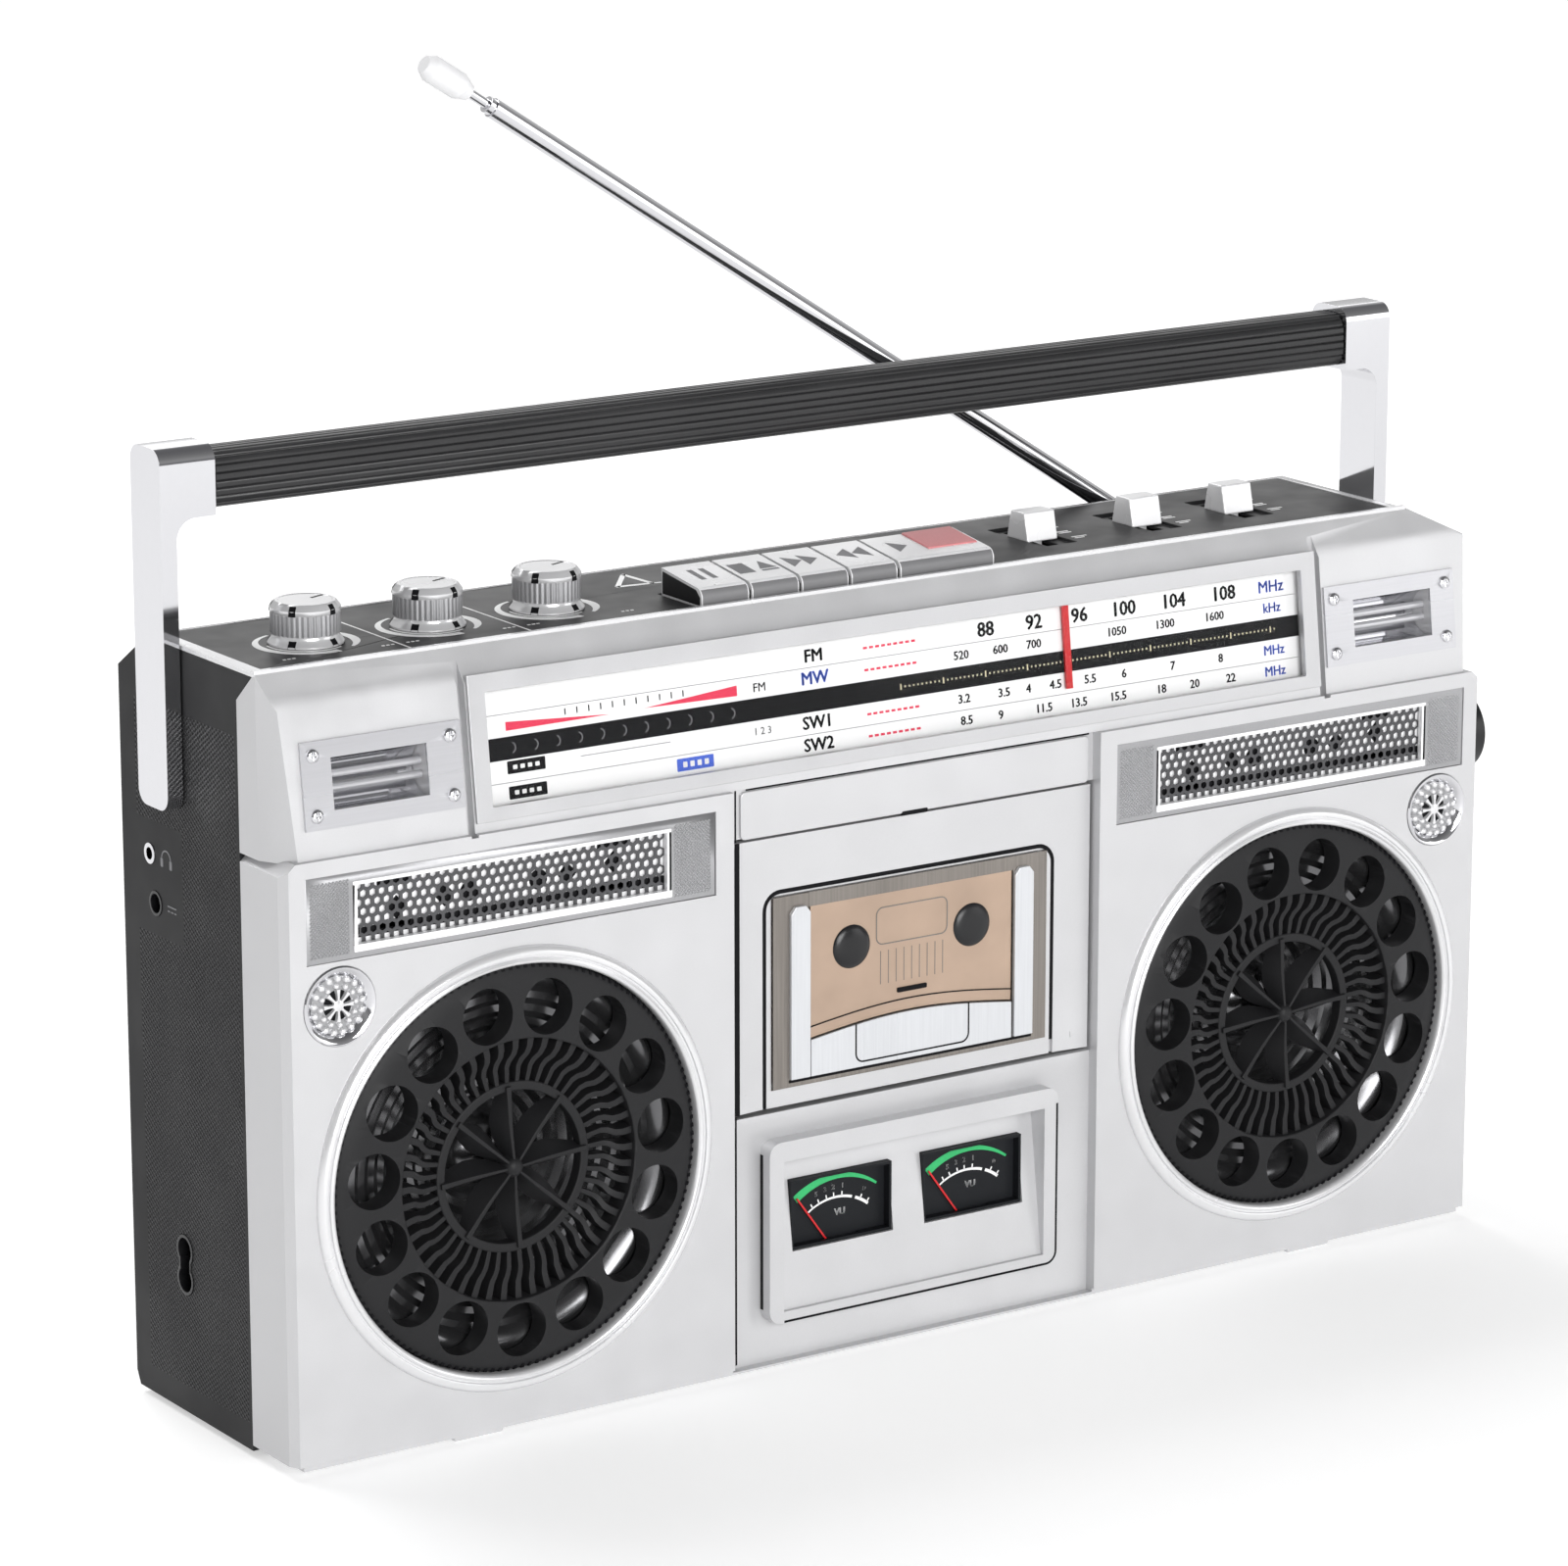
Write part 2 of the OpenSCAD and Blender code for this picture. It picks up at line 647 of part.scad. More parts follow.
// Steel basket with its magnet at the back
module speaker_drivers() {
    color([0.5, 0.5, 0.52]) pair() translate([speaker_x, front_y, case_z + speaker_h]) rotate([90, 0, 0])
        rotate_extrude() polygon([[0, -46], [22, -46], [22, -34], [34, -30], [58, -13], [61, -13], [61, -11],
                                [55, -11], [31, -28], [10, -32], [0, -32]]);
}

module speaker_cones() {
    color([0.72, 0.72, 0.74]) pair() translate([speaker_x, front_y, case_z + speaker_h]) rotate([90, 0, 0])
        rotate_extrude()
            polygon([[0, -17], [9, -19], [14, -23.5], [50, -9.6], [53, -8.2], [57, -10.6], [60, -10.6],
                     [60, -9.8], [57, -9.4], [53, -7.2], [49.6, -8.8], [14, -22.4], [9, -17.8], [0, -16]]);
}

module horn_frames() {
    color(silver) pair() translate([horn_x, front_y, case_z + horn_h]) difference() {
        union() {
            block([-horn_w / 2 + 0.1, 0.3, -horn_t / 2 + 0.1], [horn_w / 2 - 0.1, 1.5, horn_t / 2 - 0.1]);
            block([-mesh_w / 2 + 0.1, 1.4, -mesh_t / 2 + 0.1], [mesh_w / 2 - 0.1, 12, mesh_t / 2 - 0.1]);
        }
        block([-mesh_w / 2 + 1.2, -1, -mesh_t / 2 + 1.2], [mesh_w / 2 - 1.2, 10.5, mesh_t / 2 - 1.2]);
    }
}

module horn_meshes() {
    color(chrome) pair() translate([horn_x, front_y, case_z + horn_h])
        block([-mesh_w / 2 + 1.3, 0.8, -mesh_t / 2 + 1.3], [mesh_w / 2 - 1.3, 1.6, mesh_t / 2 - 1.3]);
}

module mic_grilles() {
    color(chrome) pair() translate([mic_x, front_y, case_z + mic_h]) rotate([90, 0, 0])
        rotate_extrude()
            polygon([[0, -2.2], [7.6, -2.2], [7.6, -3.4], [mic_r - 2.1, -3.4], [mic_r - 2.1, -1.5],
                     [mic_r, -1.5], [mic_r, 0.5], [mic_r - 1, 0.5], [8.2, -1.4], [7.4, -0.9], [0, -0.4]]);
}

// ---- meters ----

module vu_panel() {
    color(silver) difference() {
        union() {
            along_y(column_y - vu_proud, column_y + vu_sink)
                rounded(-vu_half, case_z + vu_h0, vu_half, case_z + vu_h1, 4);
            along_y(column_y + vu_sink - 0.5, column_y + 8)
                rounded(-vu_half + 3.2, case_z + vu_h0 + 3.2, vu_half - 3.2, case_z + vu_h1 - 3.2, 3);
        }
        // Leaning floor of the recess, deeper at the top
        along_x(-46.5, 46.5) polygon([[column_y - 6, case_z + 14], [column_y - 1.2, case_z + 14],
                                      [column_y + 4.8, case_z + 59.5], [column_y - 6, case_z + 59.5]]);
        for (side = [-1, 1]) along_y(column_y - 2, column_y + 12)
            translate([side * meter_x - meter_w / 2, case_z + meter_h - meter_t / 2])
                square([meter_w, meter_t]);
        // Pockets in the back for the needle pivots, covered from the front
        for (side = [-1, 1]) translate([side * meter_x, meter_y, case_z + meter_h - meter_t / 2])
            block([-well_half, 0.3, -well_t], [well_half, 7, 1]);
    }
}

// Meter boxes with a dark face. The needle's pivot lies under the lower edge, out of sight.
module vu_meters() {
    color([0.06, 0.06, 0.07]) for (side = [-1, 1]) translate([side * meter_x, meter_y, case_z + meter_h]) {
        difference() {
            union() {
                block([-meter_w / 2 + 0.1, -1.2, -meter_t / 2 + 0.1],
                      [meter_w / 2 - 0.1, 14, meter_t / 2 - 0.1]);
                block([-well_half + 0.1, 0.4, -meter_t / 2 - well_t + 0.1],
                      [well_half - 0.1, 14, -meter_t / 2 + 1]);
            }
            block([-meter_w / 2 + 0.9, -2, -meter_t / 2 + 0.9], [meter_w / 2 - 0.9, 1.6, meter_t / 2 - 0.9]);
            block([-well_half + 0.9, 0.3, -meter_t / 2 - well_t + 0.9],
                  [well_half - 0.9, 1.6, -meter_t / 2 + 1]);
        }
        translate([0, 0, -meter_t / 2 - needle_drop]) rod_y(0.8, 0.5, 1.7);
    }
}

module vu_needle(side) {
    pivot_z = case_z + meter_h - meter_t / 2 - needle_drop;
    translate([side * meter_x, meter_y, pivot_z]) rotate([0, -needle_rest, 0]) {
        difference() {
            rod_y(1.5, 0.5, 1.3);
            rod_y(0.8 + fit, 0, 2);
        }
        block([-0.25, 0.6, 1.2], [0.25, 1.1, needle_l]);
    }
}

module vu_needle_left() { color([0.85, 0.15, 0.1]) vu_needle(-1); }
module vu_needle_right() { color([0.85, 0.15, 0.1]) vu_needle(1); }

// ---- cassette deck ----

module cassette_deck() {
    color([0.55, 0.53, 0.5]) difference() {
        union() {
            block([-column_half + 1, deck_y, case_z + door_h0 - 0.6],
                  [column_half - 1, deck_y + 2, case_z + door_h0 + door_t]);
            // Side, top and bottom walls of the well
            pair() block([column_half - 8, hinge_y + 4, case_z + door_h0 + 8],
                         [column_half - 6, deck_y + 1, case_z + door_h0 + door_t]);
            block([-column_half + 6, hinge_y + 4, case_z + door_h0 + door_t - 3],
                  [column_half - 6, deck_y + 1, case_z + door_h0 + door_t - 1]);
        }
        for (side = [-1, 1]) translate([side * reel_pitch / 2, 0, case_z + reel_h])
            rod_y(2 + fit, deck_y - 1, deck_y + 3);
        translate([9, 0, case_z + 96]) rod_y(1 + fit, deck_y - 1, deck_y + 3);
    }
}

// Door of the cassette bay, hinged along its bottom edge
module cassette_door() {
    color(silver) {
        difference() {
            union() {
                block([-door_half, column_y, case_z + door_h0],
                      [door_half, column_y + door_back, case_z + door_h0 + door_t - 0.4]);
                // Pockets that hold the cassette by its sides
                pair() block([51.6, column_y + door_back - eps, case_z + 84],
                             [53, column_y + 13, case_z + 118]);
            }
            // Sloping frame around the lens
            sunk_frame(column_y, 1, door_half - 0.6, 10, case_z + door_h0 - 1, 0,
                       case_z + door_h0 + door_t - 1.4, 12);
            // Groove around the lens, open at the bottom
            difference() {
                along_y(column_y - 1, column_y + 2)
                    rounded(-lens_half - 3, case_z + door_h0 - 5, lens_half + 3, case_z + lens_h1 + 1.9, 6);
                along_y(column_y - 2, column_y + 3)
                    rounded(-lens_half - 1.7, case_z + door_h0 - 6, lens_half + 1.7, case_z + lens_h1 + 0.6,
                            4.7);
            }
            block([-lens_half - 0.1, column_y - 1, case_z + lens_h0 - 0.1],
                  [lens_half + 0.1, column_y + 2.4, case_z + lens_h1 + 0.1]);
            block([-lens_half + 2, column_y - 1, case_z + lens_h0 + 2],
                  [lens_half - 2, column_y + 9, case_z + lens_h1 - 2]);
        }
        pair() translate([0, hinge_y, case_z + hinge_h]) {
            rod_x(hinge_r, door_half - 6, column_half + wall - 0.4);
            rod_x(hinge_r + 1.4, door_half - 6, door_half - 0.2);
        }
    }
}

module door_window() {
    color([0.55, 0.42, 0.34, 0.5])
        block([-lens_half, column_y + 0.5, case_z + lens_h0], [lens_half, column_y + 2.3, case_z + lens_h1]);
}

module reel_spindle(side) {
    translate([side * reel_pitch / 2, 0, case_z + reel_h]) {
        rod_y(7.5, deck_y - 1.6, deck_y - 0.3);
        rod_y(4.6, deck_y - 11, deck_y - 1.5);
        rod_y(2, deck_y - 2, deck_y + 6);
        for (i = [0:2]) rotate([0, i * 120, 0]) block([-0.7, deck_y - 10, 4], [0.7, deck_y - 3, 6]);
    }
}

module reel_spindle_left() { color([0.1, 0.1, 0.1]) reel_spindle(-1); }
module reel_spindle_right() { color([0.1, 0.1, 0.1]) reel_spindle(1); }

// Capstan shaft with its flywheel behind the deck plate
module capstan_flywheel() {
    color([0.62, 0.6, 0.55]) translate([9, 0, case_z + 96]) {
        rod_y(1, deck_y - 12, deck_y + 6);
        rod_y(17, deck_y + 5, deck_y + 9);
    }
}

module deck_motor() {
    color([0.6, 0.6, 0.62]) translate([-34, 0, case_z + 98]) {
        rod_y(15, deck_y + 2.3, deck_y + 26);
    }
}

// Plate with the tape head and the pinch roller, which rises to the tape
module head_bridge() {
    color([0.66, 0.66, 0.68]) {
        block([-32, deck_y - 2.4, case_z + 80], [32, deck_y - 0.8, case_z + 87]);
        block([-7, deck_y - 11, case_z + 82], [7, deck_y - 2.3, case_z + 91]);
        translate([15.5, 0, case_z + 88]) rod_y(5, deck_y - 11, deck_y - 3);
        block([12, deck_y - 3.2, case_z + 84], [19, deck_y - 2.3, case_z + 90]);
    }
}

// ---- handle ----

// Side outline of an arm, with rounded ends
module arm_outline(h0) {
    corner = 4.5;
    hull() {
        for (s = [-1, 1]) translate([arm_y + s * (arm_w / 2 - corner), case_z + handle_h - corner])
            circle(corner, $fn = 32);
        for (s = [-1, 1]) translate([arm_y + s * (arm_w / 2 - corner), case_z + h0 + corner])
            circle(corner, $fn = 32);
    }
}

module handle_arm() {
    difference() {
        union() {
            along_x(arm_in, arm_out) arm_outline(arm_foot_h);
            // Bracket that reaches in over the end of the grip, with a fillet under it
            intersection() {
                along_x(grip_half + 0.05, arm_out) arm_outline(handle_h - 34);
                along_y(arm_y - arm_w, arm_y + arm_w) difference() {
                    translate([grip_half, case_z + handle_h - bracket_t])
                        square([arm_out - grip_half, bracket_t]);
                    hull() {
                        translate([grip_half - 20, case_z + handle_h - 40]) square([1, 20.5]);
                        translate([arm_in - 6, case_z + handle_h - bracket_t - 0.5]) circle(6, $fn = 48);
                        translate([grip_half - 20, case_z + handle_h - 40])
                            square([arm_in - grip_half + 20, 1]);
                    }
                }
            }
        }
        translate([0, arm_y, case_z + pivot_h]) rod_x(pivot_r + fit, arm_in - 1, arm_in + 3.2);
    }
}

module handle_arm_right() { color(chrome) handle_arm(); }
module handle_arm_left() { color(chrome) mirror([1, 0, 0]) handle_arm(); }

module handle_grip() {
    color(dark) along_x(-grip_half, grip_half)
        rounded(arm_y - 8, case_z + handle_h - 2 - grip_t, arm_y + 8, case_z + handle_h - 2, 3.5);
}

module handle_pivots() {
    color(chrome) pair() translate([0, arm_y, case_z + pivot_h]) rod_x(pivot_r, half_w - 9.5, arm_in + 2.8);
}

// ---- antenna ----

// The antenna's own frame: z runs from the hinge to the tip
module antenna_line() {
    translate([hinge_x, ant_y, ant_z]) rotate([0, antenna_tilt - 90, 0]) children();
}

module antenna_base() {
    color(chrome) translate([hinge_x, ant_y, ant_z]) {
        rod_z(4.6, -13.8, -5);
        rod_z(2.5, -17.5, -13);
        // Two cheeks and the hinge pin between them
        for (s = [-1, 1]) {
            translate([0, s * 3, 0]) rod_y(3.4, -0.7, 0.7);
            block([-3.4, s * 3 - 0.7, -5.5], [3.4, s * 3 + 0.7, 0]);
        }
        rod_y(ant_pin_r, -3.7, 3.7);
    }
}

module antenna_tube_1() {
    color(chrome) antenna_line() difference() {
        union() {
            rod_y(2.6, -2.2, 2.2);
            block([-1.7, -2.2, 0], [1.7, 2.2, 8]);
            rod_z(antenna_r, 7, antenna_l - 26);
        }
        rod_y(ant_pin_r + fit, -4, 4);
        rod_z(antenna_r - tube_wall, 12, antenna_l);
    }
}

module antenna_tube_2() {
    color(chrome) antenna_line() difference() {
        rod_z(tube_2_r, 18, antenna_l - 24);
        rod_z(tube_3_r + fit, 20, antenna_l);
    }
}

module antenna_tube_3() {
    color(chrome) antenna_line() rod_z(tube_3_r, 24, antenna_l - 14);
}

module antenna_cap() {
    color([0.95, 0.95, 0.95]) antenna_line() difference() {
        rotate_extrude() polygon([[0, antenna_l - 17], [2.4, antenna_l - 17], [4, antenna_l - 13],
                                  [4, antenna_l - 2.5], [2.6, antenna_l], [0, antenna_l]]);
        rod_z(tube_3_r, antenna_l - 18, antenna_l - 14);
    }
}

// ---- sockets ----

module phones_jack() {
    color(chrome) translate([0, phones_y, case_z + phones_h]) difference() {
        union() {
            rod_x(3, -half_w - 0.3, -half_w + 3);
            rod_x(4.2, -half_w + wall, -half_w + 15);
        }
        rod_x(phones_r, -half_w - 1, -half_w + 13.7);
    }
}

module dc_jack() {
    color([0.12, 0.12, 0.13]) translate([0, dc_y, case_z + dc_h]) {
        difference() {
            union() {
                rod_x(3.6, -half_w - 0.2, -half_w + 3);
                block([-half_w + wall, -4.6, -4.6], [-half_w + 12, 4.6, 4.6]);
            }
            rod_x(dc_r, -half_w - 1, -half_w + 10);
        }
        rod_x(1.05, -half_w + 1.4, -half_w + 10.5);
    }
}

// Figure-eight socket for a mains lead
module figure_eight(r, half) {
    for (s = [-1, 1]) translate([inlet_y, case_z + inlet_h + s * half]) circle(r);
    translate([inlet_y - r * 0.72, case_z + inlet_h - half]) square([r * 1.44, 2 * half]);
}

module inlet_hole(extra) {
    along_x(-half_w - 1, -half_w + 5) figure_eight(inlet_r + extra, inlet_half);
}

module ac_inlet() {
    color([0.08, 0.08, 0.08]) {
        difference() {
            union() {
                along_x(-half_w - 0.2, -half_w + wall) figure_eight(inlet_r, inlet_half);
                block([-half_w + wall, inlet_y - 7, case_z + inlet_h - 13],
                      [-half_w + 16, inlet_y + 7, case_z + inlet_h + 13]);
            }
            along_x(-half_w - 1, -half_w + 13) figure_eight(inlet_r - 0.9, inlet_half);
        }
        for (s = [-1, 1]) translate([0, inlet_y, case_z + inlet_h + s * inlet_half])
            rod_x(1.15, -half_w + 2, -half_w + 13.5);
    }
}

// ---- tuning ----

module tuning_knob() {
    color([0.12, 0.12, 0.12]) translate([0, tuning_y, case_z + tuning_h]) {
        rod_x(tuning_r, half_w + 0.4, half_w + 5);
        rod_x(pivot_r, half_w - 14, half_w + 1);
        rod_x(8, half_w - 13, half_w - 9);
    }
}

// ---- back, base and inside ----

module battery_door() {
    z1 = case_z + bay_h1 + 3.6;
    z0 = case_z + bay_h0 - 4.6;
    color(dark) difference() {
        union() {
            block([-bay_half - 4.6, rear_y - 2, z0 + 1], [bay_half + 4.6, rear_y, z1]);
            // Round lower edge that the cover turns on
            translate([0, rear_y - 1, z0 + 1]) rod_x(1, -bay_half - 4.6, bay_half + 4.6);
            block([-14, rear_y - 5, z1 - 8], [14, rear_y - 1.9, z1 - 6.5]);
        }
        // Finger grooves beside the catch
        for (i = [0:4]) block([-12, rear_y - 0.7, z1 - 6 - 2.4 * i], [12, rear_y + 1, z1 - 4.8 - 2.4 * i]);
    }
}

module feet() {
    color([0.75, 0.75, 0.76]) for (x = [-149, 149], y = [front_y + 10, rear_y - 12])
        block([x - 8, y - 7, 0], [x + 8, y + 7, foot_h]);
}

// Main board, with the three controls under the knobs and the three slide switches
module circuit_board() {
    color([0.1, 0.35, 0.2]) {
        difference() {
            block([-200, -24, top_z - 30], [185, 22, top_z - 28.4]);
            block([key_x0 - 6, -40, top_z - 32], [key_x0 + 6 * key_pitch + 6, 1, top_z - 20]);
        }
        for (i = [0:2]) translate([knob_x0 + i * knob_pitch, knob_y, top_z]) difference() {
            rod_z(8, -28.3, -12);
            rod_z(pivot_r + fit, -20, -5);
        }
        for (x = switch_x) block([x - 5, switch_y - 14, top_z - 28.3], [x + 5, switch_y + 14, top_z - 12]);
    }
}

module transformer() {
    color([0.35, 0.33, 0.32]) {
        block([-190, -12, case_z + 4], [-148, 22, case_z + 38]);
        block([-182, -17, case_z + 8], [-156, -12, case_z + 34]);
    }
}

// Spring coils and flat tabs at the two ends of the battery bay
module battery_contacts() {
    color(chrome) for (i = [0:2]) {
        z = case_z + bay_h0 + 11 + i * 21;
        block([bay_half - 0.7, bay_y + 10, z - 6], [bay_half - 0.2, bay_y + 26, z + 6]);
        block([-bay_half + 0.2, bay_y + 10, z - 6], [-bay_half + 0.7, bay_y + 26, z + 6]);
        for (t = [0:3]) translate([-bay_half + 1.6 + t * 1.7, bay_y + 18, z]) rotate([0, 90, 0])
            rotate_extrude($fn = 48) translate([5.2 - t * 0.5, 0]) circle(0.8, $fn = 24);
    }
}

front_cabinet();
rear_cabinet();
top_panel();
top_bezel();
dial_frame();
dial_scale();
dial_window();
dial_pointer();
corner_plates();
screws();
speaker_rings();
speaker_grille_left();
speaker_grille_right();
speaker_drivers();
speaker_cones();
horn_frames();
horn_meshes();
mic_grilles();
vu_panel();
vu_meters();
vu_needle_left();
vu_needle_right();
cassette_deck();
cassette_door();
door_window();
reel_spindle_left();
reel_spindle_right();
capstan_flywheel();
deck_motor();
head_bridge();
pause_key();
stop_key();
forward_key();
rewind_key();
record_key();
record_key_cap();
volume_knob();
balance_knob();
tone_knob();
band_switch();
function_switch();
mode_switch();
handle_arm_left();
handle_arm_right();
handle_grip();
handle_pivots();
antenna_base();
antenna_tube_1();
antenna_tube_2();
antenna_tube_3();
antenna_cap();
phones_jack();
dc_jack();
ac_inlet();
tuning_knob();
battery_door();
feet();
circuit_board();
transformer();
battery_contacts();
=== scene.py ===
"""Looks of the radio cassette player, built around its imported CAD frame.

Lengths are written in millimetres and turned into metres by MM. Places come from the frame's
nodes, so a piece goes where the CAD says. Printed marks are thin solids of their own.
"""
import json
import math

import bmesh
import bpy
from mathutils import Euler, Matrix, Vector

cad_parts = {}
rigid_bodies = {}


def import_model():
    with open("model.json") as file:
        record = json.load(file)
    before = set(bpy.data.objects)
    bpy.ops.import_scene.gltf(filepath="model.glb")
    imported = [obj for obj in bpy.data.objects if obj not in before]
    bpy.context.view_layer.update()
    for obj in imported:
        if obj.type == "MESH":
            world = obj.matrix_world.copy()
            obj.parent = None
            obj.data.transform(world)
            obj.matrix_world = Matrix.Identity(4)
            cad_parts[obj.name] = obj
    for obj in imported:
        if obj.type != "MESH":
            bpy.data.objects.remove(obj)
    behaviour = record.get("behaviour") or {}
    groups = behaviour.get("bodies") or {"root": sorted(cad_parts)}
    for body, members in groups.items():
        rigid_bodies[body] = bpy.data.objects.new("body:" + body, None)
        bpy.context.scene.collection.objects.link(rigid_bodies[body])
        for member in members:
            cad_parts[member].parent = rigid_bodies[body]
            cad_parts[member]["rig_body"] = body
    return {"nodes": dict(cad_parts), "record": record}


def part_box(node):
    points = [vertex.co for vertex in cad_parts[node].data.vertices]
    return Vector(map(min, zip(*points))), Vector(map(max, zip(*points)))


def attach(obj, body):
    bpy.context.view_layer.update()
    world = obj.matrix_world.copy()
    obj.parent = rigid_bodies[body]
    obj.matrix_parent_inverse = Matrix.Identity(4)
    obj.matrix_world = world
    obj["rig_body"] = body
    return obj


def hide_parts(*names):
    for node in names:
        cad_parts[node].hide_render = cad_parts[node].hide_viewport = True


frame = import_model()
MM = 0.001
TAU = 2 * math.pi
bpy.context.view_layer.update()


# ---- places, from the frame ----

def span(node):
    """A node's lowest and highest corners, in millimetres."""
    low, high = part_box(node)
    return low / MM, high / MM


def middle(node):
    """The middle of a node's box, in millimetres."""
    low, high = span(node)
    return (low + high) / 2


SLOTS = {part["node"]: part["material_slot"] for part in frame["record"]["subparts"]}

CASE_LOW, CASE_HIGH = span("front_cabinet")
REAR_LOW, REAR_HIGH = span("rear_cabinet")
GRILLE_LOW, GRILLE_HIGH = span("speaker_grille_right")
SPEAKER = middle("speaker_grille_right")
GRILLE_R = (GRILLE_HIGH.x - GRILLE_LOW.x) / 2
FRONT_Y = CASE_LOW.y                     # plane of the speaker panels
COLUMN_Y = span("cassette_door")[0].y    # plane of the middle column
LEAN = math.radians(7)                   # the dial panel leans back
LEDGE_Z = 175.7                          # where the dial panel starts
FASCIA_Y = FRONT_Y + 2                   # front of the dial panel at its foot
INK = 0.05                               # thickness of a printed mark
OVERPRINT = 0.1                          # top of a mark that is printed on another
METER_INK = 0.06                         # thickness of the marks on the meters


# ---- materials ----

def shader_node(tree, kind, inputs, **settings):
    """Adds a shader node. An input is a value, or another node's output to link to it."""
    node = tree.nodes.new("ShaderNode" + kind)
    for name, value in settings.items():
        setattr(node, name, value)
    for name, value in inputs.items():
        if isinstance(value, bpy.types.NodeSocket):
            tree.links.new(value, node.inputs[name])
        else:
            node.inputs[name].default_value = value
    return node


def noise(tree, vector, scale, detail):
    return shader_node(tree, "TexNoise", {"Vector": vector, "Scale": scale, "Detail": detail}).outputs["Fac"]


def ramp(tree, value, stops):
    """A colour ramp; the stops' places may run past 0 to 1, and are brought back into it."""
    first, last = stops[0][0], stops[-1][0]
    fit = shader_node(tree, "MapRange", {"Value": value, "From Min": first, "From Max": last})
    node = shader_node(tree, "ValToRGB", {"Fac": fit.outputs["Result"]})
    elements = node.color_ramp.elements
    elements[0].color = stops[0][1]
    elements[1].color = stops[-1][1]
    for place, colour in stops[1:-1]:
        elements.new((place - first) / (last - first)).color = colour
    return node.outputs["Color"]


def grey(level, blue=0.0):
    """A grey, with that much more blue in it."""
    return (level, level, level + blue, 1.0)


def scaled(colour, k):
    return tuple(min(1.0, c * k) for c in colour[:3]) + (1.0,)


def material(name, colour, rough, metal=0.0, grain=1800, bump=0.02, spread=0.04, rough_spread=0.06,
             stretch=(1, 1, 1), alpha=1.0, specular=0.5):
    """A finish with fine grain in its colour, gloss and relief, in object coordinates."""
    mat = bpy.data.materials.new(name)
    mat.use_nodes = True
    tree = mat.node_tree
    shader = tree.nodes["Principled BSDF"].inputs
    shader["Metallic"].default_value = metal
    shader["Specular IOR Level"].default_value = specular
    shader["Alpha"].default_value = alpha
    place = shader_node(tree, "TexCoord", {}).outputs["Object"]
    vector = shader_node(tree, "Mapping", {"Vector": place, "Scale": stretch}).outputs["Vector"]
    fine = noise(tree, vector, grain, 3)
    broad = noise(tree, vector, grain / 40, 2)
    mixed = shader_node(tree, "Math", {0: fine, 1: broad}, operation="ADD").outputs[0]
    shade = ramp(tree, mixed, [(0.6, scaled(colour, 1 - spread)), (1.4, scaled(colour, 1 + spread))])
    gloss = shader_node(tree, "MapRange", {"Value": broad, "From Min": 0.3, "From Max": 0.7,
                                           "To Min": max(0.02, rough - rough_spread),
                                           "To Max": rough + rough_spread})
    tree.links.new(shade, shader["Base Color"])
    tree.links.new(gloss.outputs["Result"], shader["Roughness"])
    if bump:
        relief = shader_node(tree, "Bump", {"Height": fine, "Strength": min(1.0, bump * 10),
                                            "Distance": bump * MM})
        tree.links.new(relief.outputs["Normal"], shader["Normal"])
    return mat


def woven_shell(name, colour, woven_box, smooth_boxes):
    """Dark shell with a woven leather grain inside one box, apart from the smooth boxes in it. The
    sides of a box are (axis, low, high), in millimetres."""
    mat = material(name, colour, 0.5, bump=0.015, spread=0.08, specular=0.18)
    tree = mat.node_tree
    shader = tree.nodes["Principled BSDF"].inputs
    place = shader_node(tree, "TexCoord", {}).outputs["Object"]
    axes = shader_node(tree, "SeparateXYZ", {"Vector": place}).outputs

    def calc(operation, a, b=0.0):
        return shader_node(tree, "Math", {0: a, 1: b}, operation=operation).outputs[0]

    def inside(box):
        """1 inside the box, and 0 outside it."""
        total = 1.0
        for axis, low, high in box:
            for operation, limit in (("GREATER_THAN", low), ("LESS_THAN", high)):
                total = calc("MULTIPLY", total, calc(operation, axes[axis], limit * MM))
        return total

    # Two crossed sets of ridges, each broken into short stitches
    pitch = TAU / (2.1 * MM)
    warp = calc("SINE", calc("MULTIPLY", calc("ADD", axes["Y"], axes["X"]), pitch))
    weft = calc("SINE", calc("MULTIPLY", axes["Z"], pitch * 1.4))
    weave = calc("ADD", calc("MULTIPLY", warp, weft), calc("MULTIPLY", noise(tree, place, 900, 2), 1.1))
    mask = inside(woven_box)
    for box in smooth_boxes:
        mask = calc("MULTIPLY", mask, calc("SUBTRACT", 1.0, inside(box)))
    height = calc("MULTIPLY", weave, mask)
    grain = shader["Normal"].links[0].from_socket
    relief = shader_node(tree, "Bump", {"Height": height, "Normal": grain, "Strength": 0.9,
                                        "Distance": 0.3 * MM})
    tree.links.new(relief.outputs["Normal"], shader["Normal"])
    # Painted shade in the hollows between the stitches, and painted highlight on the tops of the stitches,
    # which are up to four times brighter
    shade = ramp(tree, height, [(-0.6, grey(0.3)), (0.0, grey(1)), (0.9, grey(1.3)), (1.6, grey(4))])
    base = shader["Base Color"].links[0].from_socket
    weave_shade_and_highlight = shader_node(tree, "Mix", {"Factor": 1.0, "A": base, "B": shade},
                       data_type="RGBA", blend_type="MULTIPLY")
    tree.links.new(weave_shade_and_highlight.outputs["Result"], shader["Base Color"])
    return mat


FAR = 999                                # past the case on every side
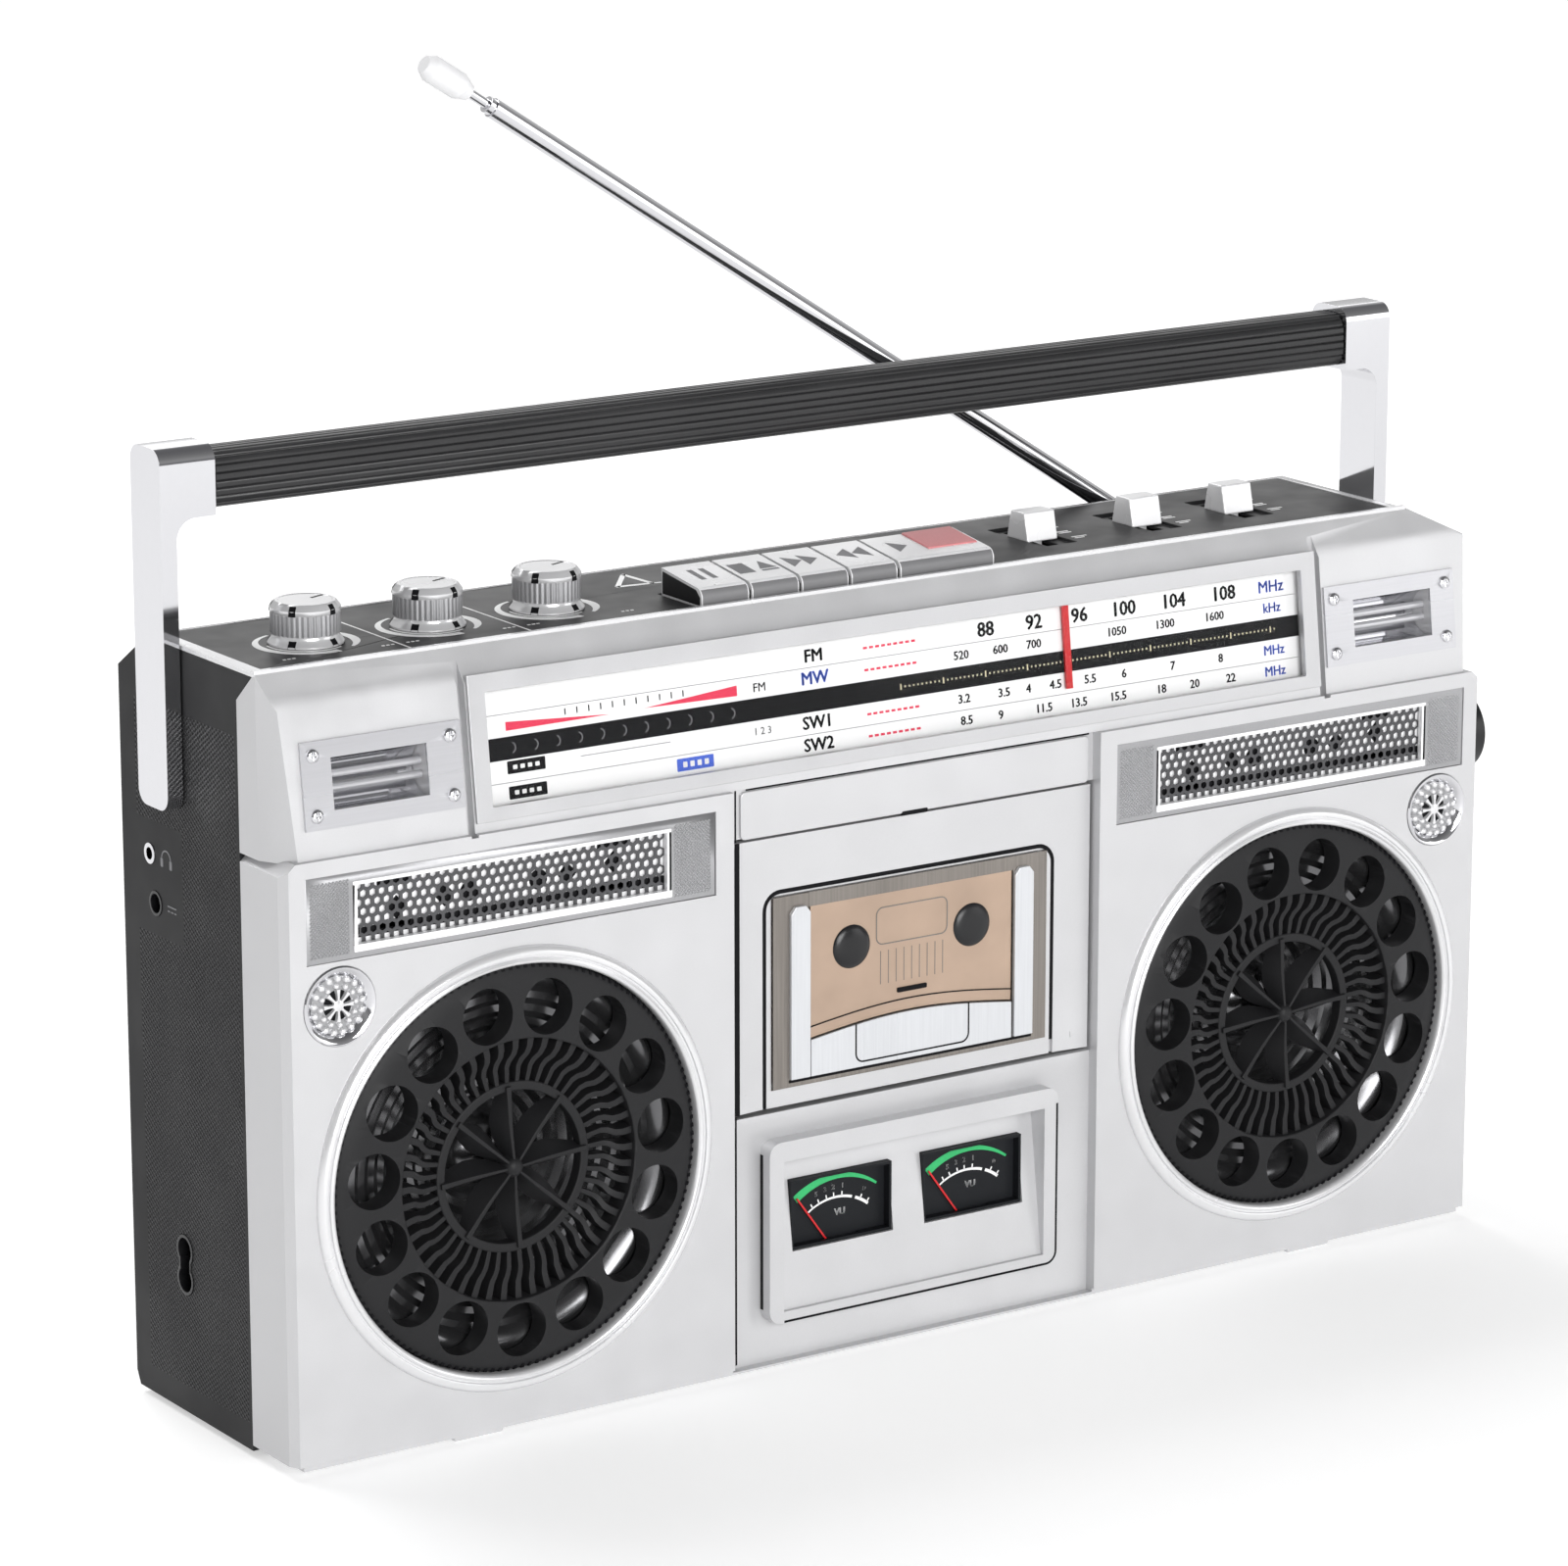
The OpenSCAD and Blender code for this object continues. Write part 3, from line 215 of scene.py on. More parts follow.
# The weave lies on the left and right sides only, with a smooth patch around the sockets
WOVEN = [("X", REAR_LOW.x - 1, REAR_HIGH.x + 1), ("Y", REAR_LOW.y + 12, REAR_HIGH.y - 9), ("Z", 10, 207)]
SMOOTH = [
    [("X", REAR_LOW.x - 1, 0), ("Y", 12, 47), ("Z", 140, 173)],
    [("X", REAR_LOW.x + 3, REAR_HIGH.x - 3), ("Y", -FAR, FAR), ("Z", -FAR, FAR)],
]

# Slot: the finish's name, colour, roughness, metal, grain, bump, spread, and anything else it has
FINISHES = {
    "silver_shell": ("silver_paint", (0.55, 0.55, 0.56), 0.38, 0.4, 2600, 0.012, 0.03),
    "dark_panel": ("dark_top_panel", (0.015, 0.015, 0.016), 0.42, 0, 2200, 0.01, 0.1, dict(specular=0.2)),
    "bright_trim": ("bright_plastic", (0.7, 0.7, 0.71), 0.22, 0.5, 2400, 0.006, 0.02),
    "dial_silver": ("dial_frame_silver", (0.5, 0.5, 0.51), 0.36, 0.4, 2600, 0.01, 0.03),
    "dial_print": ("dial_white", (0.92, 0.92, 0.92), 0.35, 0, 900, 0.004, 0.01),
    "clear": ("clear_acrylic", (0.03, 0.03, 0.03), 0.04, 0, 60, 0, 0, dict(rough_spread=0.02, alpha=0.06)),
    "tinted": ("tinted_acrylic", (0.12, 0.085, 0.06), 0.06, 0, 80, 0, 0.05,
               dict(rough_spread=0.02, alpha=0.1)),
    "red": ("red_plastic", (0.56, 0.008, 0.012), 0.3, 0, 1500, 0.006, 0.05),
    "pink": ("faded_red_plastic", (0.66, 0.24, 0.25), 0.42, 0, 1300, 0.02, 0.06),
    "chrome": ("chrome", (0.66, 0.66, 0.68), 0.07, 1, 500, 0.002, 0.01, dict(rough_spread=0.03)),
    "plate": ("brushed_plate", (0.5, 0.5, 0.52), 0.28, 0.5, 1600, 0.006, 0.05, dict(stretch=(0.02, 1, 1))),
    "grille_dark": ("dark_moulding", (0.014, 0.014, 0.015), 0.5, 0, 1900, 0.02, 0.08, dict(specular=0.2)),
    "black": ("black_plastic", (0.008, 0.008, 0.009), 0.3, 0, 1500, 0.008, 0.15, dict(specular=0.4)),
    "meter_black": ("meter_face", (0.01, 0.011, 0.013), 0.5, 0, 2500, 0.006, 0.2, dict(specular=0.15)),
    "key_silver": ("key_silver", (0.84, 0.84, 0.85), 0.28, 0.2, 2300, 0.008, 0.02),
    # Key fronts: darker grey than the key tops, as painted shade
    "key_front": ("key_front", (0.19, 0.19, 0.195), 0.4, 0.1, 2300, 0.008, 0.03),
    "grip_black": ("grip_rubber", (0.02, 0.02, 0.021), 0.4, 0, 1400, 0.03, 0.15, dict(specular=0.4)),
    "steel": ("plain_steel", (0.55, 0.55, 0.57), 0.3, 1, 900, 0.01, 0.06, dict(stretch=(1, 1, 0.05))),
    "deck_plate": ("satin_deck_plate", (0.62, 0.59, 0.55), 0.34, 0.6, 1500, 0.01, 0.05,
                   dict(stretch=(0.03, 1, 1))),
    "cone": ("metal_cone", (0.14, 0.14, 0.145), 0.2, 0.9, 700, 0.008, 0.05),
    "white_cap": ("white_plastic", (0.7, 0.7, 0.71), 0.38, 0, 1200, 0.01, 0.03),
    "board": ("circuit_board_green", (0.03, 0.16, 0.07), 0.4, 0, 700, 0.02, 0.15),
    "iron": ("transformer_core", (0.22, 0.2, 0.19), 0.55, 0.5, 900, 0.05, 0.2, dict(stretch=(0.05, 1, 1))),
    "knurl": ("knurled_grey", (0.34, 0.34, 0.35), 0.34, 0.6, 1500, 0.01, 0.06),
    "dark_mesh": ("dark_metal_mesh", (0.1, 0.1, 0.105), 0.28, 0.9, 1200, 0.01, 0.1),
    "lens_silver": ("brushed_lens_silver", (0.6, 0.61, 0.63), 0.3, 0.4, 1500, 0.008, 0.07,
                    dict(stretch=(1, 1, 0.03))),
    "lens_border": ("brushed_lens_border", (0.21, 0.19, 0.172), 0.25, 0.4, 1500, 0.01, 0.25,
                    dict(stretch=(1, 1, 0.02))),
    "brown_pane": ("brown_pane", (0.46, 0.335, 0.25), 0.16, 0, 60, 0.002, 0.16, dict(alpha=0.8)),
}
# Printed marks: colour, spread of the colour, and specular level
INKS = {
    "black": ((0.006, 0.006, 0.007), 0.2, 0.08),
    "grey": ((0.17, 0.17, 0.18), 0.05, 0.5),
    "white": ((0.82, 0.82, 0.82), 0.03, 0.5),
    "blue": ((0.05, 0.12, 0.62), 0.08, 0.5),
    "red": ((0.75, 0.025, 0.08), 0.08, 0.5),
    "green": ((0.02, 0.40, 0.12), 0.15, 0.5),
    "cream": ((0.75, 0.70, 0.45), 0.08, 0.5),
}
M = {"dark_shell": woven_shell("dark_woven_shell", (0.017, 0.017, 0.018), WOVEN, SMOOTH)}
for slot, values in FINISHES.items():
    extra = values[7] if len(values) > 7 else {}
    M[slot] = material(*values[:7], **extra)
for ink, (tint, spread, specular) in INKS.items():
    M["ink_" + ink] = material(ink + "_print", tint, 0.45, grain=1600, bump=0.004, spread=spread,
                               specular=specular)


# ---- building pieces ----

def piece(name, mesh, node, finish=None, replaced=()):
    """Puts a mesh in the scene as a piece that rides with a CAD node's body."""
    made = bpy.data.objects.new(name, mesh)
    bpy.context.scene.collection.objects.link(made)
    mesh.materials.clear()
    mesh.materials.append(M[finish or SLOTS[node]])
    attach(made, frame["nodes"][node]["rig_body"])
    if replaced:
        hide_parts(*replaced)


def built(name, bm, node, finish=None, place=None, replaced=(), **edges):
    """A piece made from a bmesh in millimetres. edges are what finished takes."""
    piece(name, finished(bm, name, place, **edges), node, finish, replaced)


def smooth(mesh, degrees=35):
    """Smooth shading, with edges over that angle left sharp."""
    for face in mesh.polygons:
        face.use_smooth = True
    mesh.set_sharp_from_angle(angle=math.radians(degrees))


def finished(bm, name, place=None, bevel=0.0, segments=2, degrees=35, sharp=30):
    """Turns a bmesh in millimetres into a mesh in metres, bevelled along its sharp edges."""
    bmesh.ops.remove_doubles(bm, verts=bm.verts, dist=1e-4)
    bmesh.ops.recalc_face_normals(bm, faces=bm.faces)
    if place is not None:
        bm.transform(place)
    bm.transform(Matrix.Scale(MM, 4))
    mesh = bpy.data.meshes.new(name)
    bm.to_mesh(mesh)
    bm.free()
    if bevel:
        mesh = rounded_edges(mesh, bevel, segments, sharp)
    smooth(mesh, degrees)
    return mesh


def evaluated(mesh, add_modifiers):
    """A mesh made from a mesh or a text, with the modifiers that add_modifiers gives its object."""
    carrier = bpy.data.objects.new("carrier", mesh)
    bpy.context.scene.collection.objects.link(carrier)
    add_modifiers(carrier)
    graph = bpy.context.evaluated_depsgraph_get()
    done = bpy.data.meshes.new_from_object(carrier.evaluated_get(graph))
    bpy.data.objects.remove(carrier)
    return done


def rounded_edges(mesh, width, segments=2, sharp=30):
    """A copy of the mesh with its sharp edges rounded."""
    def add_modifiers(carrier):
        edge = carrier.modifiers.new("edge", "BEVEL")
        edge.width = width * MM
        edge.segments = segments
        edge.limit_method = "ANGLE"
        edge.angle_limit = math.radians(sharp)
        edge.miter_outer = "MITER_ARC"
        carrier.modifiers.new("even", "WEIGHTED_NORMAL").weight = 80

    for face in mesh.polygons:
        face.use_smooth = True
    return evaluated(mesh, add_modifiers)


def cut(mesh, tool):
    """The mesh with the tool's shape taken out of it."""
    knife = bpy.data.objects.new("knife", tool)
    bpy.context.scene.collection.objects.link(knife)

    def add_modifiers(carrier):
        step = carrier.modifiers.new("cut", "BOOLEAN")
        step.operation = "DIFFERENCE"
        step.solver = "EXACT"
        step.object = knife

    done = evaluated(mesh, add_modifiers)
    bpy.data.objects.remove(knife)
    return done


def softened(node, width, segments=2, finish=None):
    """Replaces a CAD node by the same shape with its edges rounded, as a moulding has them."""
    bm = bmesh.new()
    bm.from_mesh(frame["nodes"][node].data)
    bmesh.ops.remove_doubles(bm, verts=bm.verts, dist=1e-6)
    bmesh.ops.dissolve_limit(bm, angle_limit=math.radians(0.5), verts=bm.verts, edges=bm.edges)
    bmesh.ops.triangulate(bm, faces=[face for face in bm.faces if len(face.verts) > 4])
    mesh = bpy.data.meshes.new(node + "_rounded")
    bm.to_mesh(mesh)
    bm.free()
    mesh = rounded_edges(mesh, width, segments)
    smooth(mesh)
    piece(node + "_rounded", mesh, node, finish, replaced=(node,))


def copies(bm, places, whole=None):
    """Adds the bmesh's shape at each of the places to another bmesh, or to a new one."""
    source = bpy.data.meshes.new("source")
    bm.to_mesh(source)
    bm.free()
    whole = whole or bmesh.new()
    for place in places:
        copy = source.copy()
        copy.transform(place)
        whole.from_mesh(copy)
    return whole


def both_sides(bm, x, z, depth=0.0):
    """The shape on the left and the right speaker panel, that far behind its plane."""
    return copies(bm, [front_place(side * x, FRONT_Y + depth, z) for side in (-1, 1)])


def skin(bm, rings, capped=True):
    """Joins rings of points, one after another, and closes both ends if they are capped."""
    rows = [[bm.verts.new(point) for point in ring] for ring in rings]
    if capped:
        bm.faces.new(rows[0][::-1])
        bm.faces.new(rows[-1])
    for low, high in zip(rows, rows[1:]):
        for i in range(len(low)):
            j = (i + 1) % len(low)
            bm.faces.new((low[i], low[j], high[j], high[i]))


def lathe(bm, profile, steps=96, close=True, wave=None):
    """Turns a profile of (radius, height) around Z. wave(angle, radius, height) may move the radius."""
    rings = []
    for radius, height in profile:
        if radius < 1e-6:
            rings.append([bm.verts.new((0, 0, height))])
            continue
        ring = []
        for i in range(steps):
            angle = TAU * i / steps
            r = wave(angle, radius, height) if wave else radius
            ring.append(bm.verts.new((r * math.cos(angle), r * math.sin(angle), height)))
        rings.append(ring)
    pairs = list(zip(rings, rings[1:]))
    if close:
        pairs.append((rings[-1], rings[0]))
    for low, high in pairs:
        if len(low) == 1 and len(high) == 1:
            continue
        for i in range(steps):
            j = (i + 1) % steps
            corners = [low[i % len(low)], low[j % len(low)], high[j % len(high)], high[i % len(high)]]
            bm.faces.new(list(dict.fromkeys(corners)))


def flutes(depth, count, low, high):
    """A wave for lathe, with that many flutes between two heights."""
    def wave(angle, radius, height):
        return radius - (depth * (0.5 + 0.5 * math.cos(count * angle)) if low < height < high else 0)
    return wave


def slab(bm, outline, low=0, high=INK):
    """A prism: an outline of (a, b) points, pushed from low to high along the third axis (Z)."""
    skin(bm, [[(a, b, z) for a, b in outline] for z in (low, high)])


def rectangle(x0, y0, x1, y1):
    """Outline of a rectangle with square corners."""
    return [(x0, y0), (x1, y0), (x1, y1), (x0, y1)]


def oblong(x0, y0, x1, y1, r, steps=6):
    """Outline of a rectangle with round corners."""
    corners = ((x1 - r, y0 + r, -90), (x1 - r, y1 - r, 0), (x0 + r, y1 - r, 90), (x0 + r, y0 + r, 180))
    return [point for x, y, start in corners for point in arc(r, start, start + 90, steps, (x, y))]


def arc(radius, start, end, steps=16, centre=(0, 0)):
    """Points along an arc; the angles are in degrees."""
    return [polar(radius, start + (end - start) * i / steps, centre) for i in range(steps + 1)]


def polar(radius, degrees, centre=(0, 0)):
    """The point at that distance and angle from the centre."""
    angle = math.radians(degrees)
    return centre[0] + radius * math.cos(angle), centre[1] + radius * math.sin(angle)


def strip(bm, line, width, low=0, high=INK):
    """A band of that width along a line of (a, b) points. width may be a list, one for each point."""
    widths = width if isinstance(width, list) else [width] * len(line)
    rings = []
    for i, (a, b) in enumerate(line):
        before, after = line[max(0, i - 1)], line[min(len(line) - 1, i + 1)]
        along = Vector((after[0] - before[0], after[1] - before[1])).normalized()
        side = Vector((-along.y, along.x)) * widths[i] / 2
        left, right = (a + side.x, b + side.y), (a - side.x, b - side.y)
        rings.append([(*left, low), (*left, high), (*right, high), (*right, low)])
    skin(bm, rings)


def ridge(bm, stations):
    """A closed bar through stations of (x, y, side x, side y, foot width, top width, foot, top)."""
    skin(bm, [[(x + sx * w / 2, y + sy * w / 2, z)
               for w, z in ((-foot_w, foot), (-top_w, top), (top_w, top), (foot_w, foot))]
              for x, y, sx, sy, foot_w, top_w, foot, top in stations])


def spoke(bm, degrees, stations):
    """A bar away from the middle, through stations of (radius, foot width, top width, foot, top)."""
    dx, dy = polar(1, degrees)
    ridge(bm, [(dx * station[0], dy * station[0], -dy, dx, *station[1:]) for station in stations])


def front_place(x, y, z):
    """Drawing plane on a front face: local X to the right, local Y up, local Z towards the viewer."""
    return Matrix.Translation((x, y, z)) @ Euler((math.pi / 2, 0, 0)).to_matrix().to_4x4()


def leaning_place(depth):
    """Drawing plane on the dial panel, that far in front of its face, with its origin at the ledge."""
    return (Matrix.Translation((0, FASCIA_Y, LEDGE_Z)) @ Matrix.Rotation(-LEAN, 4, "X")
            @ front_place(0, -depth, 0))


def lettering(bm, text, x, y, size, bold, thick=INK):
    """Adds digits or unit letters as thin solids; their middle is at x and y. bold widens each
    stroke by that much to every side."""
    curve = bpy.data.curves.new("letters", "FONT")
    curve.body = text
    curve.size = size
    curve.align_x = "CENTER"
    curve.align_y = "CENTER"
    curve.extrude = thick / 2
    curve.resolution_u = 2
    mesh = evaluated(curve, lambda carrier: None)
    mesh.transform(Matrix.Translation((x, y, thick / 2)))
    for dx, dy in ((-1, 0), (2, 0), (-1, -0.6), (0, 1.2)):
        mesh.transform(Matrix.Translation((dx * bold, dy * bold, 0)))
        bm.from_mesh(mesh)


# ---- case ----

def make_case():
    for node, width, segments, finish in (
            ("front_cabinet", 0.55, 3, None), ("rear_cabinet", 1.0, 3, None), ("top_panel", 0.3, 2, None),
            ("top_bezel", 0.3, 2, None), ("dial_frame", 0.35, 2, None), ("vu_panel", 0.55, 3, None),
            ("cassette_door", 0.4, 3, None), ("horn_frames", 0.25, 2, "knurl"),
            ("corner_plates", 0.22, 2, None), ("battery_door", 0.4, 2, None), ("feet", 0.5, 3, None),
            ("screws", 0.12, 2, None), ("dc_jack", 0.2, 2, None), ("phones_jack", 0.2, 2, None),
            ("ac_inlet", 0.2, 2, None)):
        softened(node, width, segments, finish)


# ---- speakers ----

HOLE_COUNT, HOLE_R, HOLE_RING = 15, 8.0, 47.0
BAR_COUNT, BLADE_COUNT = 48, 8
RIM_TEETH = 150
RECESS_R, RING_R = 38.0, 23.4            # where the slotted ring starts and ends


def grille_disc():
    """The outer disc with its ring of deep round holes."""
    bm = bmesh.new()
    lathe(bm, [(RECESS_R, -6.4), (RECESS_R, 1.0), (RECESS_R + 0.5, 1.4), (52.5, 0.9), (56.5, 0.1),
               (GRILLE_R - 0.6, -0.9), (GRILLE_R - 0.1, -1.4), (GRILLE_R - 0.1, -4.4), (57.0, -6.4)], 180)
    holes = bmesh.new()
    for i in range(HOLE_COUNT):
        centre = polar(HOLE_RING, 360 * i / HOLE_COUNT + 6)
        slab(holes, arc(HOLE_R, 0, 360 - 360 / 48, 47, centre), -9, 9)
    drilled = cut(finished(bm, "grille_disc", degrees=20), finished(holes, "grille_holes"))
    return rounded_edges(drilled, 0.28, 2, 50)


def grille_centre(bm):
    """The slotted ring, the inner ring, and the star."""
    step = 360 / BAR_COUNT
    # Each bar runs inwards through (radius, turn in steps, height of its top)
    route = ((RECESS_R + 0.4, 0, 0.2), (35.2, 0, 0.0), (33.2, 0.08, -0.5), (31.2, 0.36, -1.3),
             (29.4, 0.5, -1.7), (27.0, 0.5, -1.9), (RING_R, 0.5, -2.3))
    for i in range(BAR_COUNT):
        line = [Vector(polar(radius, step * (i + turn))) for radius, turn, top in route]
        stations = []
        for n, (radius, turn, top) in enumerate(route):
            along = (line[max(n, 1)] - line[max(n, 1) - 1]).normalized()
            width = 1.2 + 0.9 * (radius - RING_R) / (RECESS_R - RING_R)
            stations.append((*line[n], -along.y, along.x, width + 0.35, width, -6.0, top - 0.5))
        ridge(bm, stations)
    # Inner ring
    lathe(bm, [(RING_R - 1.2, -6.3), (RING_R + 1.5, -6.3), (RING_R + 1.5, -2.7), (RING_R + 1.2, -2.4),
               (RING_R - 0.9, -2.4), (RING_R - 1.2, -2.7)], 96)
    # Star of folded leaves round a small hub
    leaf = ((1.5, 2.2, 0.7, -6.6, -1.4), (5, 4.0, 0.8, -7.6, -1.6), (9, 6.6, 0.9, -8.0, -1.9),
            (13, 7.4, 1.1, -8.0, -2.0), (17, 6.0, 1.2, -7.6, -1.9), (20.5, 3.8, 1.4, -7.0, -1.7),
            (RING_R + 0.4, 2.2, 1.6, -6.2, -1.5))
    for i in range(BLADE_COUNT):
        spoke(bm, 360 / BLADE_COUNT * i + 4, leaf)
    lathe(bm, [(0, -6.8), (3.4, -6.4), (3.0, -2.2), (2.2, -1.0), (0.9, -0.5), (0, -0.4)], 32)


def cone_profile():
    """A ribbed metal cone with a half-round surround and a domed centre."""
    front = [(0, -15.5), (4, -15.9), (8, -17.2), (11.5, -19.6), (13, -22)]
    ribs = 9
    for i in range(ribs * 4 + 1):
        t = i / (ribs * 4)
        front.append((14 + 36 * t, -23.2 + 14.2 * t + 0.45 * math.sin(t * ribs * TAU)))
    front += [(50 + 7 * t / 8, -9.0 + 1.7 * math.sin(math.pi * t / 8)) for t in range(1, 9)]
    front += [(60, -9.4)]
    return front + [(radius, height - 0.9) for radius, height in front[::-1]]


def make_speakers():
    for side, node in ((-1, "speaker_grille_left"), (1, "speaker_grille_right")):
        place = front_place(side * SPEAKER.x, FRONT_Y, SPEAKER.z)
        disc = grille_disc()
        disc.transform(Matrix.Scale(MM, 4) @ place @ Matrix.Scale(1 / MM, 4))
        smooth(disc, 25)
        piece(node + "_disc", disc, node, replaced=(node,))
        centre, rim = bmesh.new(), bmesh.new()
        grille_centre(centre)
        built(node + "_centre", centre, node, None, place, bevel=0.16, sharp=40)
        for i in range(RIM_TEETH):
            spoke(rim, 360 * i / RIM_TEETH,
                  ((57.9, 1.2, 1.0, -2.0, -0.45), (GRILLE_R - 0.05, 1.2, 1.0, -2.0, -0.85)))
        built(node + "_rim", rim, node, "ink_black", place)
    ring, cone = bmesh.new(), bmesh.new()
    lathe(ring, [(GRILLE_R + 0.2, -4.4), (GRILLE_R + 1, -4.4), (GRILLE_R + 1.1, 0), (64.5, 0),
                 (64.45, 0.5), (63.9, 1.2), (63.1, 1.8), (62.4, 1.98), (61.9, 1.8), (61.7, 1.2),
                 (61.2, 1.1), (61.0, 1.6), (60.4, 1.9), (59.8, 1.7), (59.35, 1.0), (GRILLE_R + 0.2, 0)], 192)
    lathe(cone, cone_profile())
    for bm, node in ((ring, "speaker_rings"), (cone, "speaker_cones")):
        built(node + "_turned", both_sides(bm, SPEAKER.x, SPEAKER.z), node, replaced=(node,), degrees=40)


# ---- horn grilles and microphones ----

MESH_W = 100.8                           # width of a perforated sheet
HEX_PITCH, HEX_HOLE = 2.95, 1.12         # distance between holes, and a hole's radius


def hex_sheet(bm, half_w, half_h, low, high):
    """A sheet with a honeycomb of holes. Cells that cross the edge are left out."""
    row_step = HEX_PITCH * math.sqrt(3) / 2
    corner = HEX_PITCH / math.sqrt(3)
    rows = int(half_h / row_step)
    for j in range(-rows, rows + 1):
        shift = HEX_PITCH / 2 if j % 2 else 0
        columns = int((half_w - shift) / HEX_PITCH)
        for i in range(-columns - (1 if shift else 0), columns + 1):
            centre = (i * HEX_PITCH + shift, j * row_step)
            if abs(centre[0]) > half_w:
                continue
            skin(bm, [[(*point, z) for point in arc(radius, 30, 330, 5, centre)]
                      for radius, z in ((corner, high), (HEX_HOLE, high), (HEX_HOLE, low), (corner, low))],
                 capped=False)


def pyramids(bm, x0, y0, x1, y1, pitch, low, height):
    """Rows of small pyramids, each row half a step along from the last."""
    columns, rows = int((x1 - x0) / pitch), int((y1 - y0) / pitch * 2)
    for j in range(rows - 1):
        for i in range(columns):
            cx = x0 + pitch * (i + 0.5 + (0.25 if j % 2 else -0.25))
            cy = y0 + pitch * (j + 1) / 2
            foot = [bm.verts.new((cx + a * pitch / 2, cy + b * pitch / 2, low))
                    for a, b in ((-1, 0), (0, -1), (1, 0), (0, 1))]
            tip = bm.verts.new((cx, cy, low + height))
            for k in range(4):
                bm.faces.new((foot[k], foot[(k + 1) % 4], tip))
            bm.faces.new(foot[::-1])


def make_horns():
    low, high = span("horn_meshes")
    frame_low, frame_high = span("horn_frames")
    half_w, half_h = MESH_W / 2, (high.z - low.z) / 2
    centre_x, centre_z = high.x - half_w, (high.z + low.z) / 2
    sheet, plate_back, knurl, dark, sills = (bmesh.new() for i in range(5))
    hex_sheet(sheet, half_w - 0.6, half_h - 0.4, -0.15, 0.15)
    # Bright ledge above the sheet, sill below it, and a strip at each end
    slab(sills, oblong(-half_w - 1, half_h - 0.3, half_w + 1, half_h + 0.7, 0.3, 3), -1.5, 0.2)
    slab(sills, oblong(-half_w - 1, -half_h - 1.7, half_w + 1, -half_h + 0.3, 0.3, 3), -1.5, 0.5)
    for x0 in (-half_w - 1, half_w - 0.4):
        slab(sills, oblong(x0, -half_h, x0 + 1.4, half_h, 0.3, 3), -1.5, 0.1)
    slab(plate_back, oblong(-half_w - 0.4, -half_h, half_w + 0.4, half_h, 0.5), -0.4, 0.4)
    # Dark diamonds, bars and round spots on the reflector behind the sheet, and a long dark band that is a
    # painted reflection of the sheet in the ledge below
    spots = [[(x - 3.2, z), (x, z - 3.4), (x + 3.2, z), (x, z + 3.4)]
             for x, z in ((-36.6, -0.4), (-21.3, 0.8), (18.3, 0.8), (33.7, 2.0))]
    spots += [oblong(x0, z - 1.1, x0 + 10.4, z + 1.1, 0.6) for x0 in (-42.6, 28.2) for z in (-4.6, 6.9)]
    spots += [arc(2.9, 0, 345, 23, (x, 0.6)) for x in (-13.4, 8.9)]
    # Painted reflection: this dark band stands in for the sheet mirrored in the ledge below it
    spots.append(oblong(-half_w, -7.2, half_w, -4.4, 0.5))
    for outline in spots:
        slab(dark, outline, 0.35, 0.5)
    outer = frame_high.x - centre_x
    for a, b in ((-outer + 1.2, -half_w - 1.9), (half_w + 1.9, outer - 1.2)):
        pyramids(knurl, a, frame_low.z - centre_z + 1.2, b, frame_high.z - centre_z - 1.2, 1.1, -0.01, 0.32)
    for bm, name, depth, finish, replaced in (
            (sheet, "horn_sheets", 2.0, "dark_mesh", ("horn_meshes",)),
            (plate_back, "horn_reflectors", 3.0, "key_silver", ()),
            (dark, "horn_shapes_and_reflection", 3.0, "ink_black", ()),
            (sills, "horn_sills", 0.4, "key_silver", ()),
            (knurl, "horn_knurling", 0.3, "knurl", ())):
        whole = both_sides(bm, centre_x, centre_z, depth)
        built(name, whole, "horn_meshes", finish, replaced=replaced, degrees=25)


def make_microphones():
    low, high = span("mic_grilles")
    radius = (high.z - low.z) / 2
    dish, disc, dark, floor = (bmesh.new() for i in range(4))
    lathe(dish, [(radius - 3.2, -3.2), (radius - 2.2, -3.2), (radius - 2.1, -1.4), (radius, -1.4),
                 (radius, 0.2), (radius - 0.3, 0.5), (radius - 0.9, 0.45), (radius - 2.2, -0.7),
                 (radius - 2.8, -1.6), (radius - 3.2, -2.0)], 72)
    lathe(dark, [(0, -2.4), (4.5, -2.4), (4.5, -1.5), (0, -1.3)], 48)
    lathe(floor, [(4.4, -2.4), (radius - 3.0, -2.4), (radius - 3.0, -1.5), (4.4, -1.4)], 48)
    # Domes in two rings, and spokes between slots round the hub
    for count, ring, size in ((12, 5.5, 0.88), (17, 7.6, 1.05)):
        dome = bmesh.new()
        lathe(dome, [(0, -1.6), (size, -1.6), (size * 0.95, -0.75), (size * 0.6, -0.35), (0, -0.2)], 10)
        spots = [polar(ring, 360 * i / count + 5) for i in range(count)]
        copies(dome, [Matrix.Translation((*spot, 0)) for spot in spots], disc)
    for i in range(8):
        spoke(disc, 45 * i, [(r, w, w * 0.6, -1.6, -0.5) for r, w in ((1.4, 0.9), (3, 1.1), (4.6, 1.9))])
    lathe(disc, [(0, -1.6), (1.7, -1.6), (1.6, -0.6), (0.8, -0.35), (0, -0.3)], 24)
    for bm, name, finish, replaced in ((dish, "mic_dishes", "chrome", ("mic_grilles",)),
                                       (disc, "mic_domes", "bright_trim", ()),
                                       (dark, "mic_floors", "ink_black", ()),
                                       (floor, "mic_plates", "knurl", ())):
        whole = both_sides(bm, high.x - radius, (high.z + low.z) / 2)
        built(name, whole, "mic_grilles", finish, replaced=replaced, degrees=40)


# ---- dial ----

ROW_LOW, ROW_PITCH = 5.6, 6.38           # foot of the lowest row above the ledge, and height of a row
BAND_ROW = 2                             # the row of the black band
PRINT_BACK = 3.3                         # how far the printed face lies behind the dial panel's face
